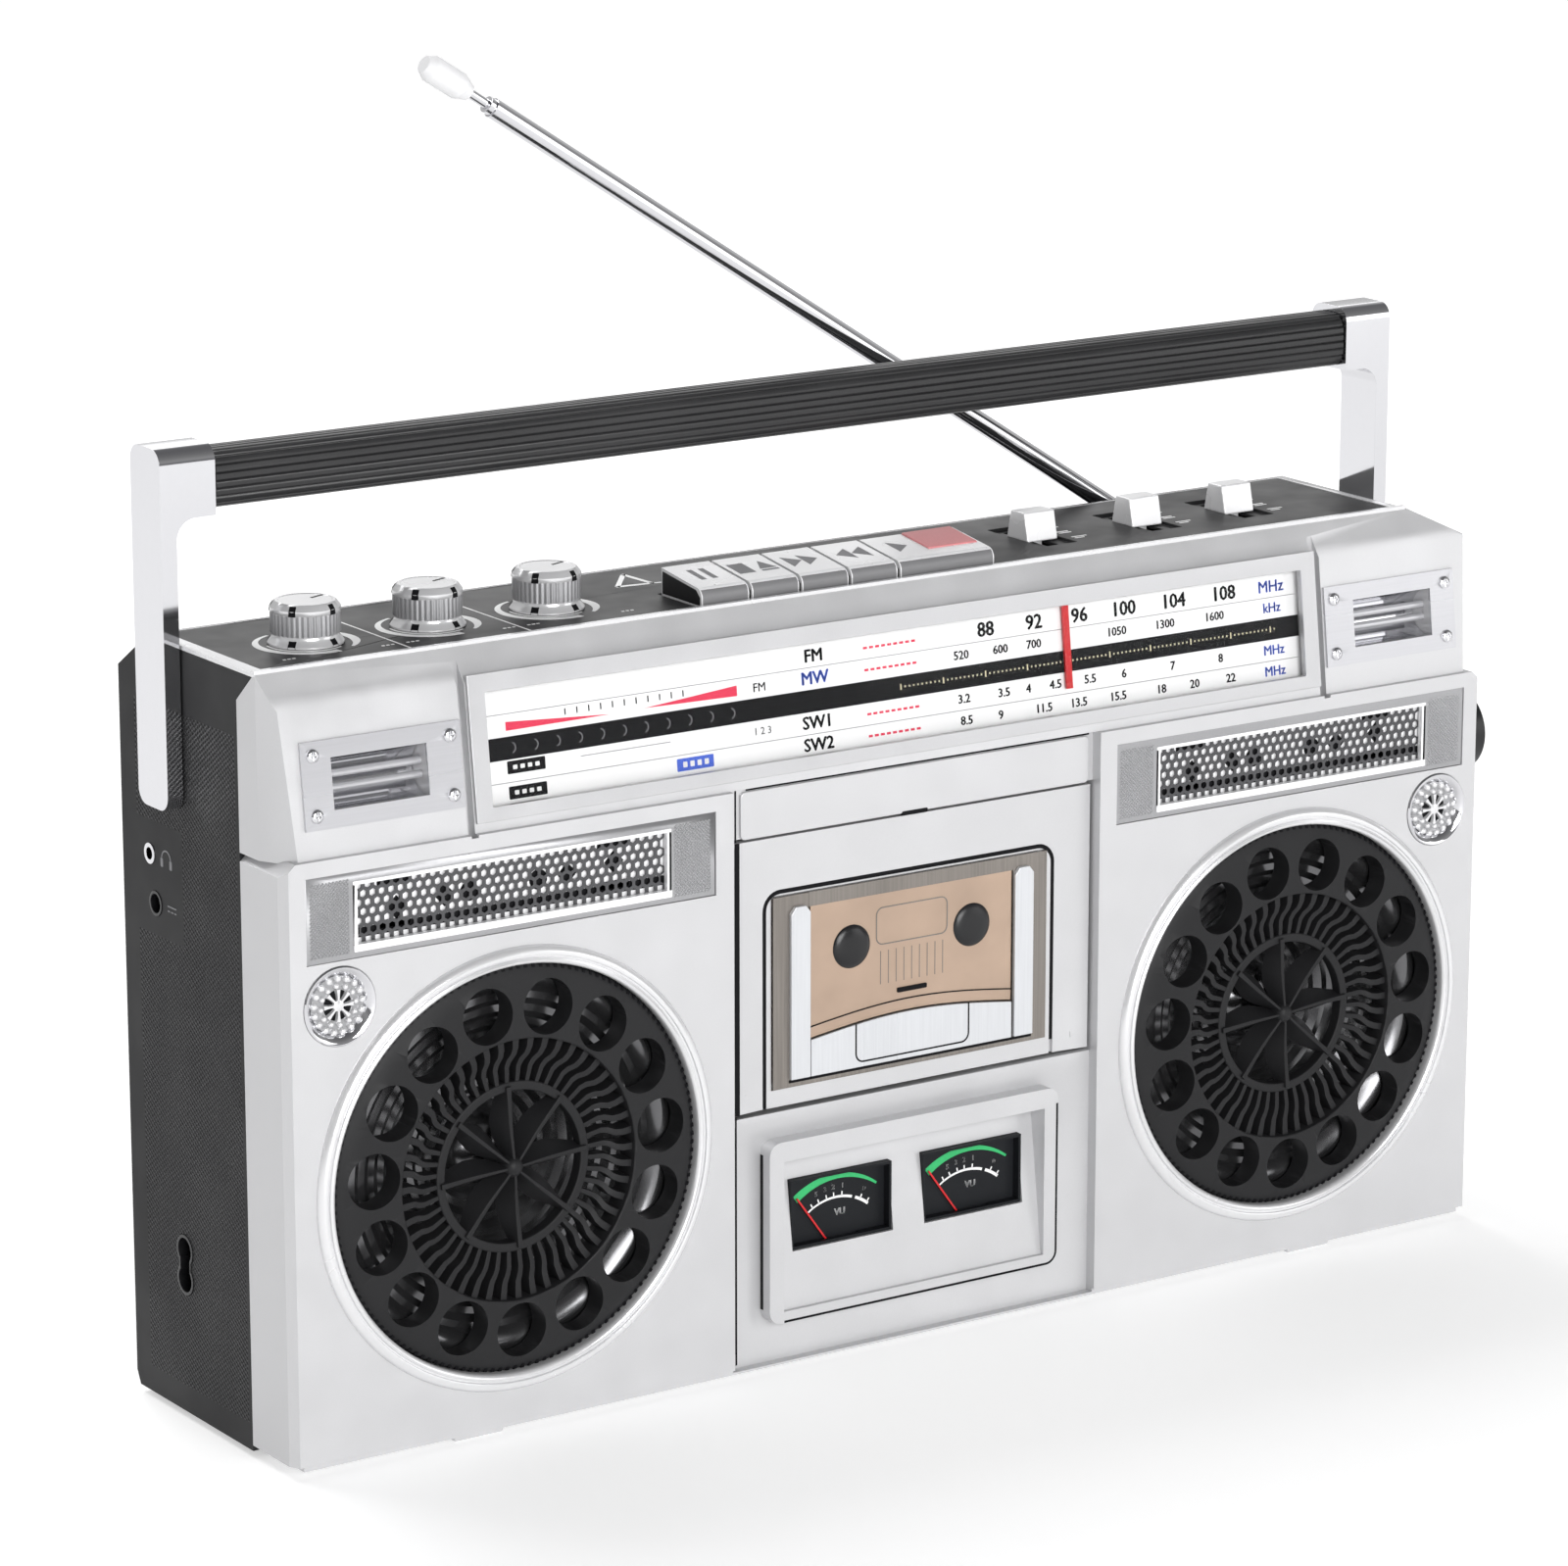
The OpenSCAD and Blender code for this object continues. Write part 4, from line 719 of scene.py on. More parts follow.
# Printed rows from the lowest up: the band's name and ink, the size of its numbers, its unit and the
# unit's size, and the numbers with their places from the middle
DIAL_ROWS = {
    0: ("SW2", "ink_black", 3.6, "MHz", 4.1,
        [("8.5", 20.6), ("9", 32.8), ("11.5", 48.3), ("13.5", 61), ("15.5", 75.4), ("18", 91.4),
         ("20", 103.8), ("22", 117.4)]),
    1: ("SW1", "ink_black", 3.6, "MHz", 4.1,
        [("3.2", 20.1), ("3.5", 34.4), ("4", 43.2), ("4.5", 53), ("5.5", 65.6), ("6", 78), ("7", 96),
         ("8", 114)]),
    3: ("MW", "ink_blue", 3.6, "kHz", 4.1,
        [("520", 20), ("600", 34), ("700", 46), ("1050", 76.2), ("1300", 94), ("1600", 112.5)]),
    4: ("FM", "ink_black", 6.0, "MHz", 5.0,
        [("88", 29.2), ("92", 46.5), ("96", 63), ("100", 79.2), ("104", 97.7), ("108", 116.4)]),
}


def row(i):
    """Height of the middle of a row above the ledge."""
    return ROW_LOW + ROW_PITCH * (i + 0.5)


def print_rows(black, blue, red, rule):
    """The scales, with a short dashed red bar in place of each row's small print."""
    for i, (band, band_ink, size, unit, unit_size, labels) in DIAL_ROWS.items():
        for text, x in labels:
            lettering(black, text, x, row(i), size, size * 0.032)
        lettering(blue, unit, 134.2, row(i), unit_size, 0.11)
        lettering(blue if band_ink == "ink_blue" else black, band, -31.2, row(i), 5.2, 0.17)
        for k in range(9):
            x = -14 + 2.1 * k
            slab(red, oblong(x, row(i) - 0.35, x + 1.4, row(i) + 0.35, 0.1, 2))
    for i in (1, 4):
        z = ROW_LOW + ROW_PITCH * i
        slab(rule, rectangle(-143, z - 0.09, 143, z + 0.09), 0, 0.04)


def print_band(black, lamp, cream):
    """The black band, with its curved lamps and its fine scale."""
    z = row(BAND_ROW)
    slab(black, rectangle(-144, z - 3.2, 144, z + 3.2))
    for k in range(11):
        strip(lamp, arc(1.5, -75, 75, 10, (-133 + 7.25 * k, z)), 0.3, INK, OVERPRINT)
    for k in range(92):
        x = -2 + 1.5 * k
        tall = 0.9 if k % 10 == 0 else 0.28
        slab(cream, rectangle(x, z - tall, x + 0.42, z + tall), INK, OVERPRINT)


def print_level(black, blue, red, white, rule):
    """The level wedges with their ticks, and the boxes of small squares, on the left."""
    slab(red, [(-134.2, 26.4), (-100, 26.6), (-134.2, 28.9)])
    slab(red, [(-89, 26.8), (-57.8, 26.2), (-57.8, 29.2)])
    for k in range(11):
        x = -115 + 3.9 * k
        slab(black, rectangle(x, 28.4, x + 0.4, 30.2))
    for ink, x, y, square_x, square_y, square_h in (
            (black, -134.6, 7.2, -132.8, 8.4, 1.2), (black, -134.6, 14.3, -132.8, 15.5, 1.2),
            (blue, -79.4, 7.4, -77.4, 8.4, 1.6)):
        slab(ink, oblong(x, y, x + 12.3, y + 3.6, 0.3, 3))
        for k in range(4):
            a = square_x + 2.4 * k
            slab(white, oblong(a, square_y, a + 1.4, square_y + square_h, 0.2, 2), INK, OVERPRINT)
    slab(rule, rectangle(-110.7, 16.1, -81, 16.3), 0, 0.04)
    lettering(black, "FM", -50.2, row(3) - 0.3, 3.6, 0.03)
    lettering(rule, "1 2 3", -50, row(1), 3.0, 0.03)


def make_dial():
    names = ("ink_black", "ink_blue", "ink_red", "ink_grey", "ink_white", "ink_cream")
    black, blue, red, pale, white, cream = inks = [bmesh.new() for name in names]
    print_rows(black, blue, red, pale)
    print_band(black, pale, cream)
    print_level(black, blue, red, white, pale)
    for name, bm in zip(names, inks):
        built("dial_" + name, bm, "dial_scale", name, leaning_place(-PRINT_BACK))
    # Curved reflectors behind the bars of the corner plates
    mirrors = bmesh.new()
    for near, far in ((-162.2, -191.8), (162.2, 191.8)):
        skin(mirrors, [[(near, 20 + a * 0.97, b - 0.6), (far, 20 + a * 0.97, b - 0.6),
                        (far, 20 + a * 1.02, b - 1.1), (near, 20 + a * 1.02, b - 1.1)]
                       for a, b in arc(7.2, 180, 360, 14)])
    built("corner_reflectors", mirrors, "corner_plates", "chrome", leaning_place(0))


# ---- meters ----

METER_W, NEEDLE_HUB_R = 35.4, 1.5
METER_MARKS = ((118, ""), (110, "5"), (101, "3"), (93, "2"), (84, "1"), (62, "0"), (53, ""))


def make_meters():
    low, high = span("vu_meters")
    pivot_z = span("vu_needle_left")[0].z + NEEDLE_HUB_R
    white, green = bmesh.new(), bmesh.new()
    for x in (low.x + METER_W / 2, high.x - METER_W / 2):
        pivot = (x, pivot_z)
        strip(green, arc(24.1, 127, 54, 26, pivot), [2.6 - 1.9 * i / 26 for i in range(27)], 0, METER_INK)
        strip(white, arc(17.7, 124, 72, 20, pivot), [0.5 + 0.3 * i / 20 for i in range(21)], 0, METER_INK)
        strip(white, arc(17.7, 68, 51, 8, pivot), 0.9, 0, METER_INK)
        for degrees, text in METER_MARKS:
            strip(white, [polar(17.7, degrees, pivot), polar(19.2, degrees, pivot)], 0.4, 0, METER_INK)
            if text:
                lettering(white, text, *polar(20.9, degrees, pivot), 2.2, 0.03, METER_INK)
        lettering(white, "VU", x + 1.2, pivot_z + 13, 2.9, 0.08, METER_INK)
    for bm, name in ((white, "ink_white"), (green, "ink_green")):
        built("meter_" + name, bm, "vu_meters", name, front_place(0, low.y + 2.8, 0))
    # Painted shadow: a black line round the raised rim of the panel, at its foot on the left, at its edge on
    # the others
    low, high = span("vu_panel")
    groove = bmesh.new()
    slab(groove, rectangle(low.x - 0.06, low.z + 4, low.x + 0.05, high.z - 4), -2.3, -0.9)
    inset, r = 0.45, 3.6
    corner = arc(r, 0, -90, 8, (high.x - inset - r, low.z + inset + r))
    top = COLUMN_Y - low.y
    strip(groove, [(high.x - inset, high.z - 5)] + corner + [(low.x + 5, low.z + inset)], 0.7,
          top - 0.8, top + 0.03)
    built("vu_rim_shadow", groove, "vu_panel", "ink_black", front_place(0, COLUMN_Y, 0))


# ---- cassette door ----

BOSS_R = 6.5                             # radius of the black bosses on the window
SHADOW_GAP_X = -61.8                            # left edge of the painted shadow in the gap beside the door
LENS_HALF = 35.6                         # half the width of the pane


def make_column():
    """The raised bar above the door, and painted shadow: black strips in the gap along the left and under
    the ledge, and a black patch for the shade in the finger notch.
    """
    low, high = span("cassette_door")
    place = front_place(0, COLUMN_Y, 0)
    bar, gap_shadow = bmesh.new(), bmesh.new()
    slab(bar, oblong(-60.2, high.z + 0.9, 62.6, LEDGE_Z - 1.2, 1.6, 5), -0.3, 0.9)
    built("column_bar", bar, "front_cabinet", None, place, bevel=0.4, segments=3)
    # Painted shadow: black strips beside the door, under the ledge, and in the finger notch above the door
    for z0, z1 in ((CASE_LOW.z + 1.5, low.z - 0.3), (high.z + 0.3, LEDGE_Z - 0.6)):
        slab(gap_shadow, rectangle(SHADOW_GAP_X, z0, SHADOW_GAP_X + 0.6, z1), -0.2, 0.06)
    slab(gap_shadow, oblong(-58, LEDGE_Z - 1.1, 63, LEDGE_Z - 0.5, 0.2, 2), -0.2, 0.1)
    slab(gap_shadow, oblong(-4.5, high.z + 0.3, 4.5, high.z + 1.6, 0.4, 3), -0.2, 1.0)
    built("column_painted_shadows", gap_shadow, "front_cabinet", "ink_black", place)


def make_bosses(place):
    """A black boss on the window in front of each spindle."""
    boss = bmesh.new()
    lathe(boss, [(0, 0), (BOSS_R - 0.2, 0), (BOSS_R, 0.25), (6.1, 0.75), (4.7, 1.25), (2.6, 1.5), (0, 1.6)],
          48)
    reels = [middle(node) for node in ("reel_spindle_left", "reel_spindle_right")]
    bosses = copies(boss, [Matrix.Translation((reel.x, reel.z, 0)) for reel in reels])
    built("window_bosses", bosses, "door_window", "black", place)


def make_door_shadows(low, high):
    """Painted shadow: black strips in the gaps along the door's sides, and a black band in the groove around
    the lens.
    """
    door_low, door_high = span("cassette_door")
    shadow = bmesh.new()
    # Painted shadow along the door's sides, then round the lens
    for x0, x1 in ((SHADOW_GAP_X, SHADOW_GAP_X + 1.7), (door_high.x - 1.0, door_high.x - 0.1)):
        slab(shadow, rectangle(x0, door_low.z, x1, door_high.z), -0.1, 0.06)
    reach, r = high.x + 2.35, 5.35
    left, right = ((side * (reach - r), high.z + 1.25 - r) for side in (-1, 1))
    line = [(-reach, door_low.z + 0.3)] + arc(r, 180, 90, 8, left) + arc(r, 90, 0, 8, right)
    strip(shadow, line + [(reach, low.z - 1)], 1.15, -1.9, -1.05)
    built("door_gap_shadow", shadow, "cassette_door", "ink_black", front_place(0, door_low.y, 0))


def make_door():
    low, high = span("door_window")
    silver, border, pane, dark, ghost = (bmesh.new() for i in range(5))
    top, bottom = low.z + 53.2, low.z + 2.2
    # Border strips round the pane
    left, right, foot, head = low.x + 0.2, high.x - 0.2, low.z + 0.2, high.z - 0.2
    inner = LENS_HALF + 0.6
    for sides in ((left, foot, -inner, head), (inner, foot, right, head),
                  (-inner, top, inner, head), (-inner, foot, inner, bottom)):
        slab(border, rectangle(*sides), 0.0, 0.25)
    # Two bright bars
    for x0, x1 in ((-42.9, -36.2), (36.2, 42.9)):
        slab(silver, [(x0, low.z + 2.6), (x1, low.z + 2.6), (x1, low.z + 52), (x1 - 1.6, low.z + 54),
                      (x0 + 1.6, low.z + 54), (x0, low.z + 52)], 0.2, 1.5)

    def arch(height):
        """The arched line across the pane, that far above the foot of the window."""
        return [(LENS_HALF * (1 - 2 * i / 24), low.z + height + 3.2 * math.sin(math.pi * i / 24))
                for i in range(25)]

    # Label strip under the arch, the pane above it, and the dark line along it
    slab(silver, [(-LENS_HALF, bottom + 0.2), (LENS_HALF, bottom + 0.2)] + arch(13.4), 0.1, 0.9)
    slab(pane, [(LENS_HALF, top), (-LENS_HALF, top)] + arch(13.9)[::-1], 0.0, 0.2)
    strip(dark, arch(17.2), 0.35, 0.2, 0.45)
    slab(dark, oblong(-5.2, low.z + 22.6, 5.2, low.z + 24, 0.3, 3), 0.2, 0.6)
    # Rounded outline on the label, and the thin line under the strip and the bars
    outline = ([(-20, low.z + 15.6)] + arc(2.6, 180, 270, 6, (-17.4, low.z + 6.6))
               + arc(2.6, 270, 360, 6, (17.4, low.z + 6.6)) + [(20, low.z + 15.6)])
    strip(dark, outline, 0.5, 0.88, 0.97)
    slab(dark, rectangle(-43, low.z + 1.5, 43, low.z + 2.3), 0.2, 0.5)
    # Moulded outline of the tape window on the pane, and the ribs below it
    outline = oblong(-12.5, low.z + 38, 12.5, low.z + 49, 2.2, 6)
    strip(ghost, outline + [outline[0]], 0.35, 0.2, 0.32)
    for k in range(9):
        x = -11 + 2.75 * k
        strip(ghost, [(x, low.z + 26), (x, low.z + 36)], 0.25, 0.2, 0.28)
    place = front_place(0, low.y, 0)
    make_bosses(place)
    make_door_shadows(low, high)
    built("lens_border", border, "door_window", "lens_border", place, bevel=0.08)
    built("lens_bars", silver, "door_window", "lens_silver", place, bevel=0.22, segments=3)
    built("lens_pane", pane, "door_window", "brown_pane", place)
    built("lens_lines", dark, "door_window", "ink_black", place)
    built("lens_mouldings", ghost, "door_window", "lens_border", place)
    softened("door_window", 0.2)
    for node in ("reel_spindle_left", "reel_spindle_right"):
        make_spindle(node)


def make_spindle(node):
    """A drive spindle with a domed cap, a collar and three drive teeth."""
    centre = middle(node)
    bm = bmesh.new()
    lathe(bm, [(0, 0.2), (2, 0.2), (2, 5.8), (7.4, 5.9), (7.4, 7.0), (6.8, 7.3), (5.0, 7.4), (4.6, 8.0),
               (4.6, 14.2), (4.1, 15.6), (3.0, 16.6), (1.6, 16.9), (0, 17.0)], 48)
    for i in range(3):
        spoke(bm, 120 * i + 90, [(r, 1.5, 1.0, 8.5, 15.0) for r in (3.6, 5.0, 6.0)])
    place = front_place(centre.x, span(node)[1].y, centre.z)
    built(node + "_turned", bm, node, None, place, (node,), bevel=0.15)


# ---- controls on the top ----

KNOBS = ("volume_knob", "balance_knob", "tone_knob")
SWITCHES = ("band_switch", "function_switch", "mode_switch")
KEY_SLOPE = math.atan2(2.5, 18)          # the tops of the keys rise towards the back
NOSE_R = 3.0                             # radius of a key's front edge
# Drawn as (y, z) and pushed along X
ALONG_X = Matrix(((0, 0, 1, 0), (1, 0, 0, 0), (0, 1, 0, 0), (0, 0, 0, 1)))


def pointer(x, turned=False):
    """A triangle that points to the right, or to the left if it is turned, with its middle at x."""
    points = [(-1.7, -1.9), (1.7, 0), (-1.7, 1.9)]
    return [(x - a, b) for a, b in points[::-1]] if turned else [(x + a, b) for a, b in points]


KEY_SIGNS = {
    "pause_key": [rectangle(-1.9, -1.9, -0.7, 1.9), rectangle(0.7, -1.9, 1.9, 1.9)],
    "stop_key": [rectangle(-4.4, -1.8, -0.8, 1.8), [(0.8, -1.0), (4.6, -1.0), (2.7, 1.8)],
                 rectangle(0.8, -1.8, 4.6, -1.3)],
    "forward_key": [pointer(-1.8), pointer(1.8)],
    "rewind_key": [pointer(-1.8, True), pointer(1.8, True)],
    "record_key": [pointer(0)],
}


def make_keys():
    for key in KEY_SIGNS:
        softened(key, 0.7, 4)
    softened("record_key_cap", 0.35, 3)
    foot = span("top_panel")[1].z + 0.1
    for key, signs in KEY_SIGNS.items():
        low, high = span(key)
        mark, sides, front = bmesh.new(), bmesh.new(), bmesh.new()
        for sign in signs:
            slab(mark, [(a * 1.5, b * 2.2) for a, b in sign], -0.03, 0.06)
        slope = (Matrix.Translation((low.x + 8, high.y - 9, high.z - 1.27))
                 @ Matrix.Rotation(KEY_SLOPE, 4, "X"))
        built(key + "_mark", mark, key, "ink_grey", slope)
        # Painted shade: black sides, and a dark grey front up to the rounded edge, darker than the lit tops
        flank = [(low.y + 0.9, foot), (high.y - 0.6, foot), (high.y - 0.6, high.z - 1.0),
                 (low.y + NOSE_R, high.z - 3.3), (low.y + 0.9, high.z - 5.2)]
        for x in (low.x, high.x):
            slab(sides, flank, x - 0.05, x + 0.05)
        nose = (low.y + NOSE_R, high.z - 5.5)
        outer, inner = (arc(NOSE_R + out, 180, 128, 6, nose) for out in (0.04, -0.2))
        slab(front, [(low.y - 0.04, foot)] + outer + inner[::-1] + [(low.y + 0.2, foot)],
             low.x + 0.35, high.x - 0.35)
        built(key + "_shaded_sides", sides, key, "black", ALONG_X)
        built(key + "_front", front, key, "key_front", ALONG_X)


def make_knob(node):
    """A knob with a flared foot, a fluted grip, and a bevelled top with dark notches."""
    low, high = span(node)
    r = (high.x - low.x) / 2
    tall = 12.0
    centre = middle(node)
    place = Matrix.Translation((centre.x, centre.y, high.z - tall))
    wave = flutes(0.32, 40, 3.0, 9.0)
    body, grip, notches, line = (bmesh.new() for i in range(4))
    lathe(body, [(0, 0.02), (r, 0.02), (r, 0.5), (r - 0.5, 1.2), (r - 1.15, 2.0), (r - 1.35, 2.7),
                 (r - 1.35, 2.9)], 240, close=False)
    lathe(body, [(r - 1.35, 2.9), (r - 0.95, 3.1), (r - 0.95, 8.9), (r - 0.9, 9.0)], 240, close=False,
          wave=wave)
    lathe(body, [(r - 0.9, 9.0), (r - 0.85, 9.1), (r - 0.85, 10.3), (r - 1.9, tall - 0.3), (r - 2.4, tall),
                 (r - 3.1, tall), (r - 3.3, tall - 0.12), (0, tall - 0.12)], 240, close=False)
    built(node + "_body", body, node, None, place, (node,), degrees=28)
    lathe(grip, [(r - 1.0, 3.15), (r - 0.9, 3.15), (r - 0.9, 8.85), (r - 1.0, 8.85)], 240, wave=wave)
    built(node + "_grip", grip, node, "knurl", place, degrees=60)
    for i in range(5):
        spoke(notches, 72 * i + 3, [(a, 2.1, 1.9, b - 0.7, b + 0.08) for a, b in
                                    ((r - 1.8, 11.6), (r - 0.9, 10.35), (r - 0.76, 9.6))])
        spoke(notches, 72 * i + 3, [(a, 2.4, 2.2, b - 0.6, b + 0.07) for a, b in
                                    ((r - 1.2, 2.0), (r - 0.5, 1.15), (r - 0.05, 0.6))])
    built(node + "_notches", notches, node, "ink_black", place)
    strip(line, [polar(2.6, 20), polar(r - 3.4, 20)], 0.7, tall - 0.14, tall - 0.04)
    built(node + "_line", line, node, "ink_black", place)


def swelling(thin, more, count):
    """Widths for a strip that is thickest halfway."""
    return [thin + more * math.sin(math.pi * i / count) for i in range(count + 1)]


def make_top_print():
    """White arcs round the knobs, an arrow, two rules, and dashes by the switches."""
    bm = bmesh.new()
    for knob in KNOBS:
        centre = middle(knob)
        x, y = centre.x, centre.y
        tapered = [0.8 + 1.6 * min(1, i / 25) for i in range(61)]
        strip(bm, arc(13.9, 110, 282, 60, (x, y)), tapered)
        strip(bm, arc(11.2, 170, 300, 40, (x, y)), swelling(0.5, 0.9, 40))
        strip(bm, arc(13.9, -52, 40, 24, (x, y)), swelling(0.8, 1.9, 24))
        for dx in (-16, 15):
            for k in range(3):
                a = x + dx + 1.5 * k
                slab(bm, oblong(a, y - 16, a + 1, y - 15.2, 0.2, 2))
    for x in (-158.5, -120):
        slab(bm, rectangle(x - 0.3, -27, x + 0.3, 13))
    triangle = [(-69.6, 7.6), (-59.6, 20.4), (-58.8, 6.2)]
    for a, b in zip(triangle, triangle[1:] + triangle[:1]):
        strip(bm, [a, b], 1.5)
        slab(bm, arc(0.75, 0, 330, 11, a))
    strip(bm, [(-58.8, 6.2), (-55.5, 5.6)], 1.2)
    for switch in SWITCHES:
        x = span(switch)[1].x + 3
        for k, y in enumerate((-9, -1, 7)):
            slab(bm, oblong(x, y - 0.45, x + 5.5 - k, y + 0.45, 0.2, 2))
            slab(bm, oblong(x, y - 2.1, x + 3.5 + k, y - 1.3, 0.2, 2))
    built("top_print", bm, "top_panel", "ink_white", Matrix.Translation((0, 0, span("top_panel")[1].z)))


def make_controls():
    make_keys()
    for knob in KNOBS:
        make_knob(knob)
    for switch in SWITCHES:
        softened(switch, 0.5, 3)
    make_top_print()


# ---- handle and antenna ----

GRIP_STEPS, GRIP_RIBS = 216, 24
SQUARENESS = 3.2                         # 2 would make the grip round


def make_handle():
    for node in ("handle_arm_left", "handle_arm_right"):
        softened(node, 1.1, 4)
    softened("handle_pivots", 0.3)
    low, high = span("handle_grip")
    centre = middle("handle_grip")
    half_y, half_z = (high.y - low.y) / 2, (high.z - low.z) / 2
    section = []
    for i in range(GRIP_STEPS):
        t = TAU * i / GRIP_STEPS
        c, s = math.cos(t), math.sin(t)
        square = (abs(c) ** SQUARENESS + abs(s) ** SQUARENESS) ** (-1 / SQUARENESS)
        groove = 0.55 * max(0.0, math.cos(GRIP_RIBS * t)) ** 6
        k = square - groove / half_y
        section.append((half_y * c * k, half_z * s * k))
    bm = bmesh.new()
    skin(bm, [[(x, centre.y + a * size, centre.z + b * size) for a, b in section]
              for x, size in ((low.x, 0.90), (low.x + 0.6, 1.0), (high.x - 0.6, 1.0), (high.x, 0.90))])
    built("ribbed_grip", bm, "handle_grip", replaced=("handle_grip",), degrees=50)


def make_antenna():
    for node, width in (("antenna_base", 0.25), ("antenna_tube_1", 0.25), ("antenna_tube_2", 0.15),
                        ("antenna_tube_3", 0.15), ("antenna_cap", 0.5)):
        softened(node, width, 3)


# ---- tuning knob and sockets ----

def make_tuning_knob():
    low, high = span("tuning_knob")
    centre = middle("tuning_knob")
    r, out = (high.z - low.z) / 2, high.x - CASE_HIGH.x
    bm = bmesh.new()
    lathe(bm, [(0, 0.3), (r - 0.6, 0.3), (r, 0.8), (r, 1.2), (r, out - 1.2), (r - 0.2, out - 0.7),
               (r - 1.0, out - 0.1), (r - 1.6, out), (r - 2.4, out), (r - 2.7, out - 0.3), (0, out - 0.35)],
          288, close=False, wave=flutes(0.4, 48, 0.9, out - 0.9))
    place = Matrix.Translation((CASE_HIGH.x, centre.y, centre.z)) @ Matrix.Rotation(math.pi / 2, 4, "Y")
    built("tuning_knob_rim", bm, "tuning_knob", None, place, degrees=30)


def make_side_signs():
    """The printed signs beside the sockets, drawn as seen from the left."""
    signs = bmesh.new()
    phones, low_voltage = middle("phones_jack"), middle("dc_jack")
    x, z = -phones.y + 9.5, phones.z
    strip(signs, arc(2.6, 0, 180, 16, (x, z)), 0.45, -0.03, INK)
    for dx in (-2.6, 2.6):
        slab(signs, oblong(x + dx - 0.7, z - 2.4, x + dx + 0.7, z + 0.2, 0.4, 3), -0.03, INK)
    x, z = -low_voltage.y + 7, low_voltage.z
    strip(signs, [(x, z + 0.8), (x + 5, z + 0.8)], 0.4, -0.03, INK)
    for k in range(3):
        strip(signs, [(x + 1.9 * k, z - 0.6), (x + 1.2 + 1.9 * k, z - 0.6)], 0.4, -0.03, INK)
    side = (Matrix.Translation((REAR_LOW.x - 0.04, 0, 0))
            @ Euler((math.pi / 2, 0, -math.pi / 2)).to_matrix().to_4x4())
    built("side_signs", signs, "rear_cabinet", "ink_grey", side)


# ---- set ----

AIM = Vector((0, 0, 0.15))               # what the lights point at, in metres
FLOOR_REACH = 25                         # half the width of the floor, in metres
# Lights: name, place, size and power
LIGHTS = (
    ("key", (-0.5, -2.7, 0.9), (1.6, 1.4), 68),
    ("fill", (1.9, -1.9, 0.7), (1.2, 1.2), 9),
    ("top", (-0.2, 1.3, 1.9), (1.6, 1.2), 36),
    ("back", (1.0, 2.0, 1.2), (1.6, 1.0), 5),
)


def make_camera():
    camera = bpy.data.objects.new("camera", bpy.data.cameras.new("camera"))
    camera.data.sensor_width = 36
    camera.data.lens = 138.88
    camera.data.clip_start, camera.data.clip_end = 0.05, 80
    camera.location = (-0.97370, -1.42398, 0.59564)
    camera.rotation_euler = (math.radians(90 - 14.168), 0, math.radians(-33.886))
    bpy.context.scene.collection.objects.link(camera)
    bpy.context.scene.camera = camera


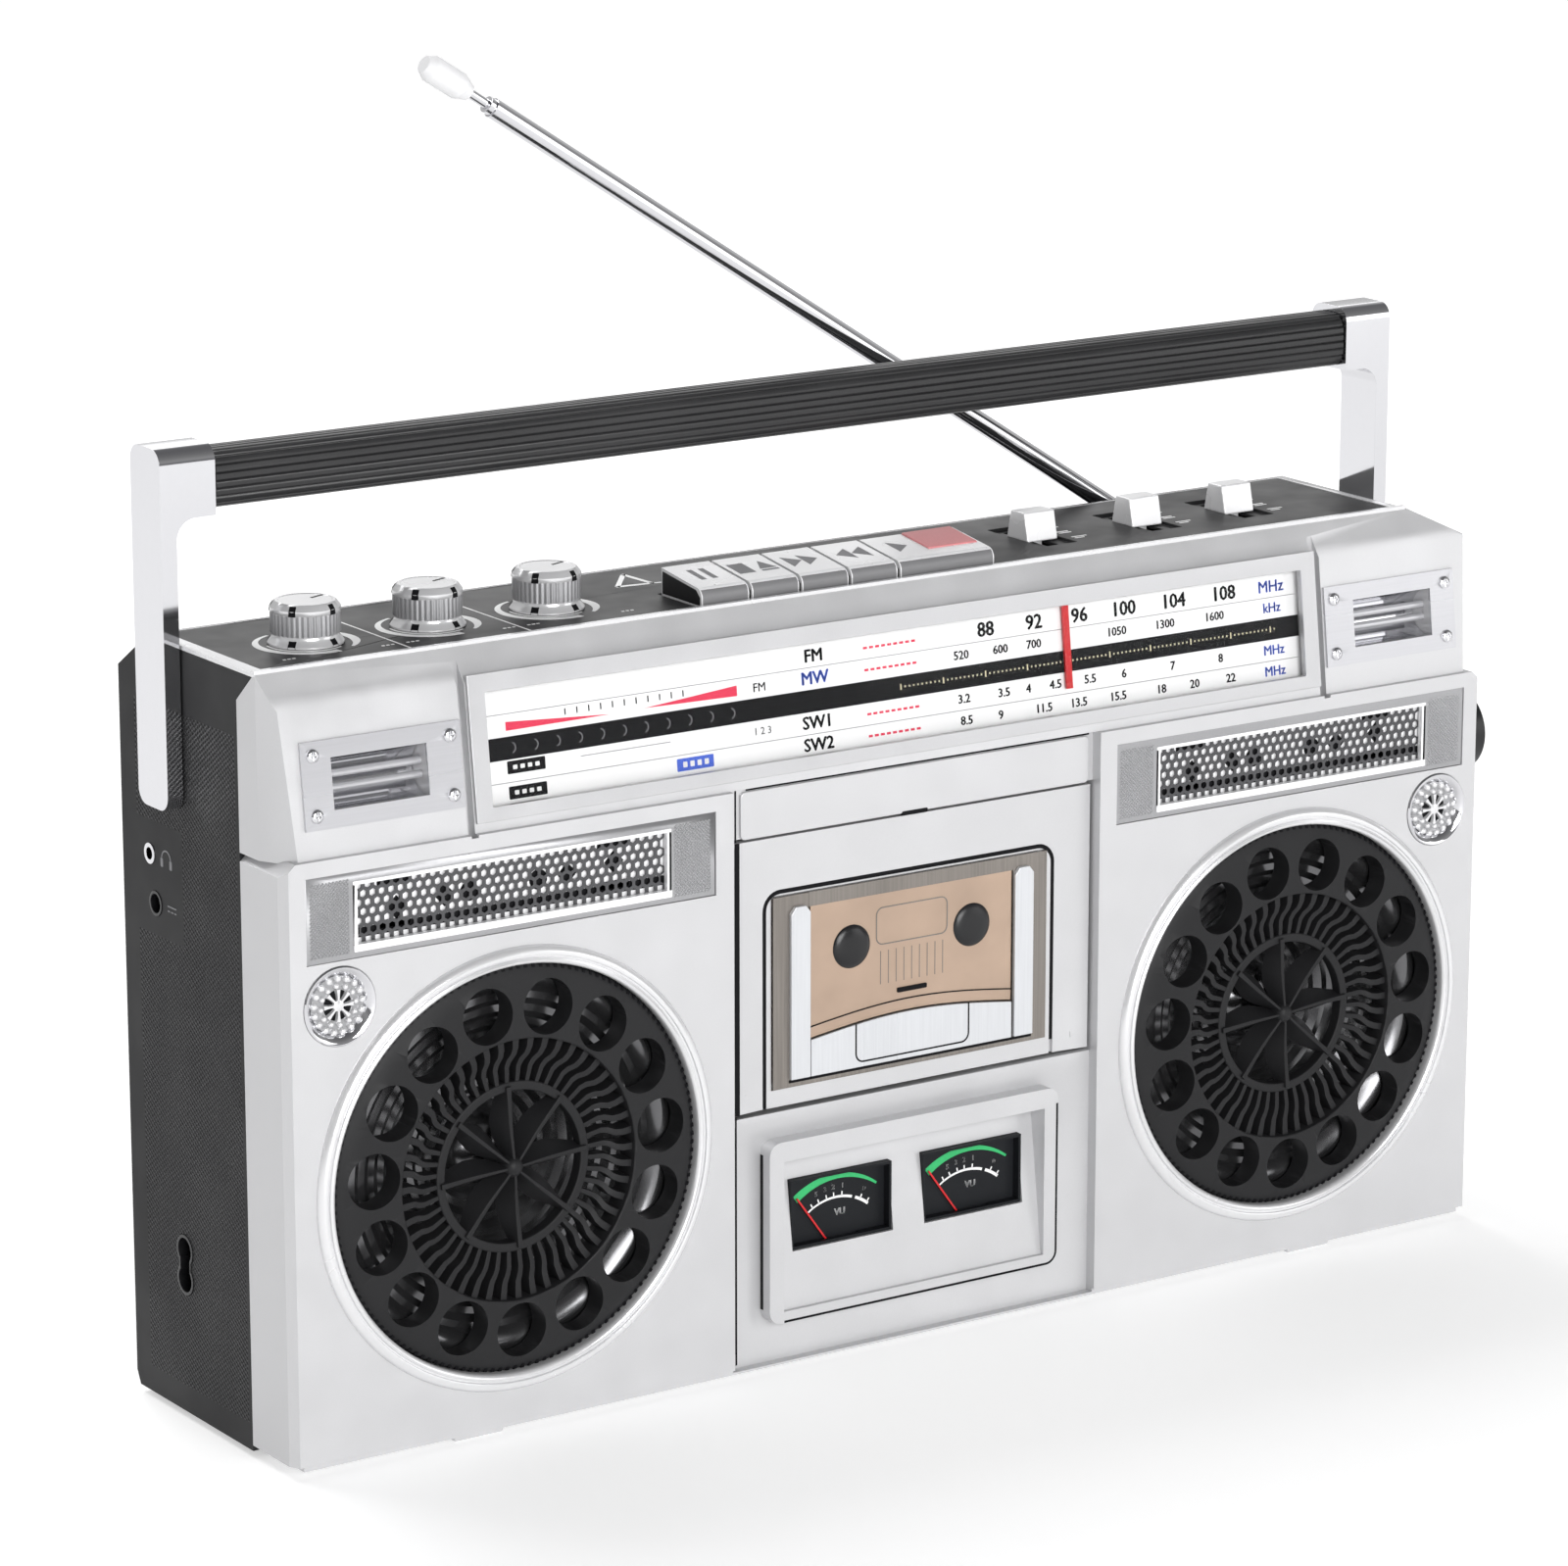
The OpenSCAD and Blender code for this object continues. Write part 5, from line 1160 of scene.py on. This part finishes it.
def make_world():
    """A bright band above the horizon behind the object, a dimmer one before it, and a dark ceiling,
    for the bright metal to mirror."""
    world = bpy.data.worlds.new("studio")
    bpy.context.scene.world = world
    world.use_nodes = True
    tree = world.node_tree
    place = shader_node(tree, "TexCoord", {}).outputs["Generated"]
    axes = shader_node(tree, "SeparateXYZ", {"Vector": place}).outputs
    front = ramp(tree, axes["Z"], [(-1, grey(0.8)), (-0.04, grey(0.7)), (0.02, grey(0.30, 0.01)),
                                   (0.3, grey(0.55)), (0.55, grey(0.4)), (1, grey(0.20, 0.01))])
    back = ramp(tree, axes["Z"], [(-1, grey(0.8)), (-0.02, grey(0.55)), (0.04, grey(0.8)), (0.3, grey(1)),
                                  (0.55, grey(0.95)), (0.72, grey(0.28, 0.01)), (1, grey(0.20, 0.01))])
    depth = shader_node(tree, "MapRange", {"Value": axes["Y"], "From Min": -0.3, "From Max": 0.3})
    both = shader_node(tree, "Mix", {"Factor": depth.outputs["Result"], "A": front, "B": back},
                       data_type="RGBA")
    background = tree.nodes["Background"].inputs
    tree.links.new(both.outputs["Result"], background["Color"])
    background["Strength"].default_value = 0.65


def make_floor():
    mesh = bpy.data.meshes.new("floor")
    corners = rectangle(-FLOOR_REACH, -FLOOR_REACH, FLOOR_REACH, FLOOR_REACH)
    mesh.from_pydata([(x, y, 0) for x, y in corners], [], [(0, 1, 2, 3)])
    floor = bpy.data.objects.new("floor", mesh)
    pale = material("pale_floor", (0.62, 0.62, 0.62), 0.7, grain=40, bump=0.0, spread=0.005)
    # The floor glows more with its distance, so that it stays white up to the top of the picture
    tree = pale.node_tree
    shader = tree.nodes["Principled BSDF"].inputs
    shader["Emission Color"].default_value = grey(1)
    place = shader_node(tree, "TexCoord", {}).outputs["Object"]
    away = shader_node(tree, "VectorMath", {0: place}, operation="LENGTH").outputs["Value"]
    glow = shader_node(tree, "MapRange", {"Value": away, "From Min": 1.2, "From Max": 4.0,
                                          "To Min": 0.5, "To Max": 0.85})
    tree.links.new(glow.outputs["Result"], shader["Emission Strength"])
    mesh.materials.append(pale)
    bpy.context.scene.collection.objects.link(floor)


def make_lights():
    for name, place, size, power in LIGHTS:
        data = bpy.data.lights.new(name, "AREA")
        data.shape = "RECTANGLE"
        data.size, data.size_y = size
        data.energy = power
        lamp = bpy.data.objects.new(name, data)
        lamp.location = place
        lamp.rotation_euler = (AIM - Vector(place)).to_track_quat("-Z", "Y").to_euler()
        bpy.context.scene.collection.objects.link(lamp)


make_camera()
make_world()
make_floor()
make_lights()
bpy.context.scene.view_settings.view_transform = "Standard"
make_case()
make_speakers()
make_horns()
make_microphones()
make_dial()
make_meters()
make_column()
make_door()
make_controls()
make_handle()
make_antenna()
make_tuning_knob()
make_side_signs()
for name, node in frame["nodes"].items():
    if name in SLOTS:
        for place in node.material_slots:
            place.material = M[SLOTS[name]]
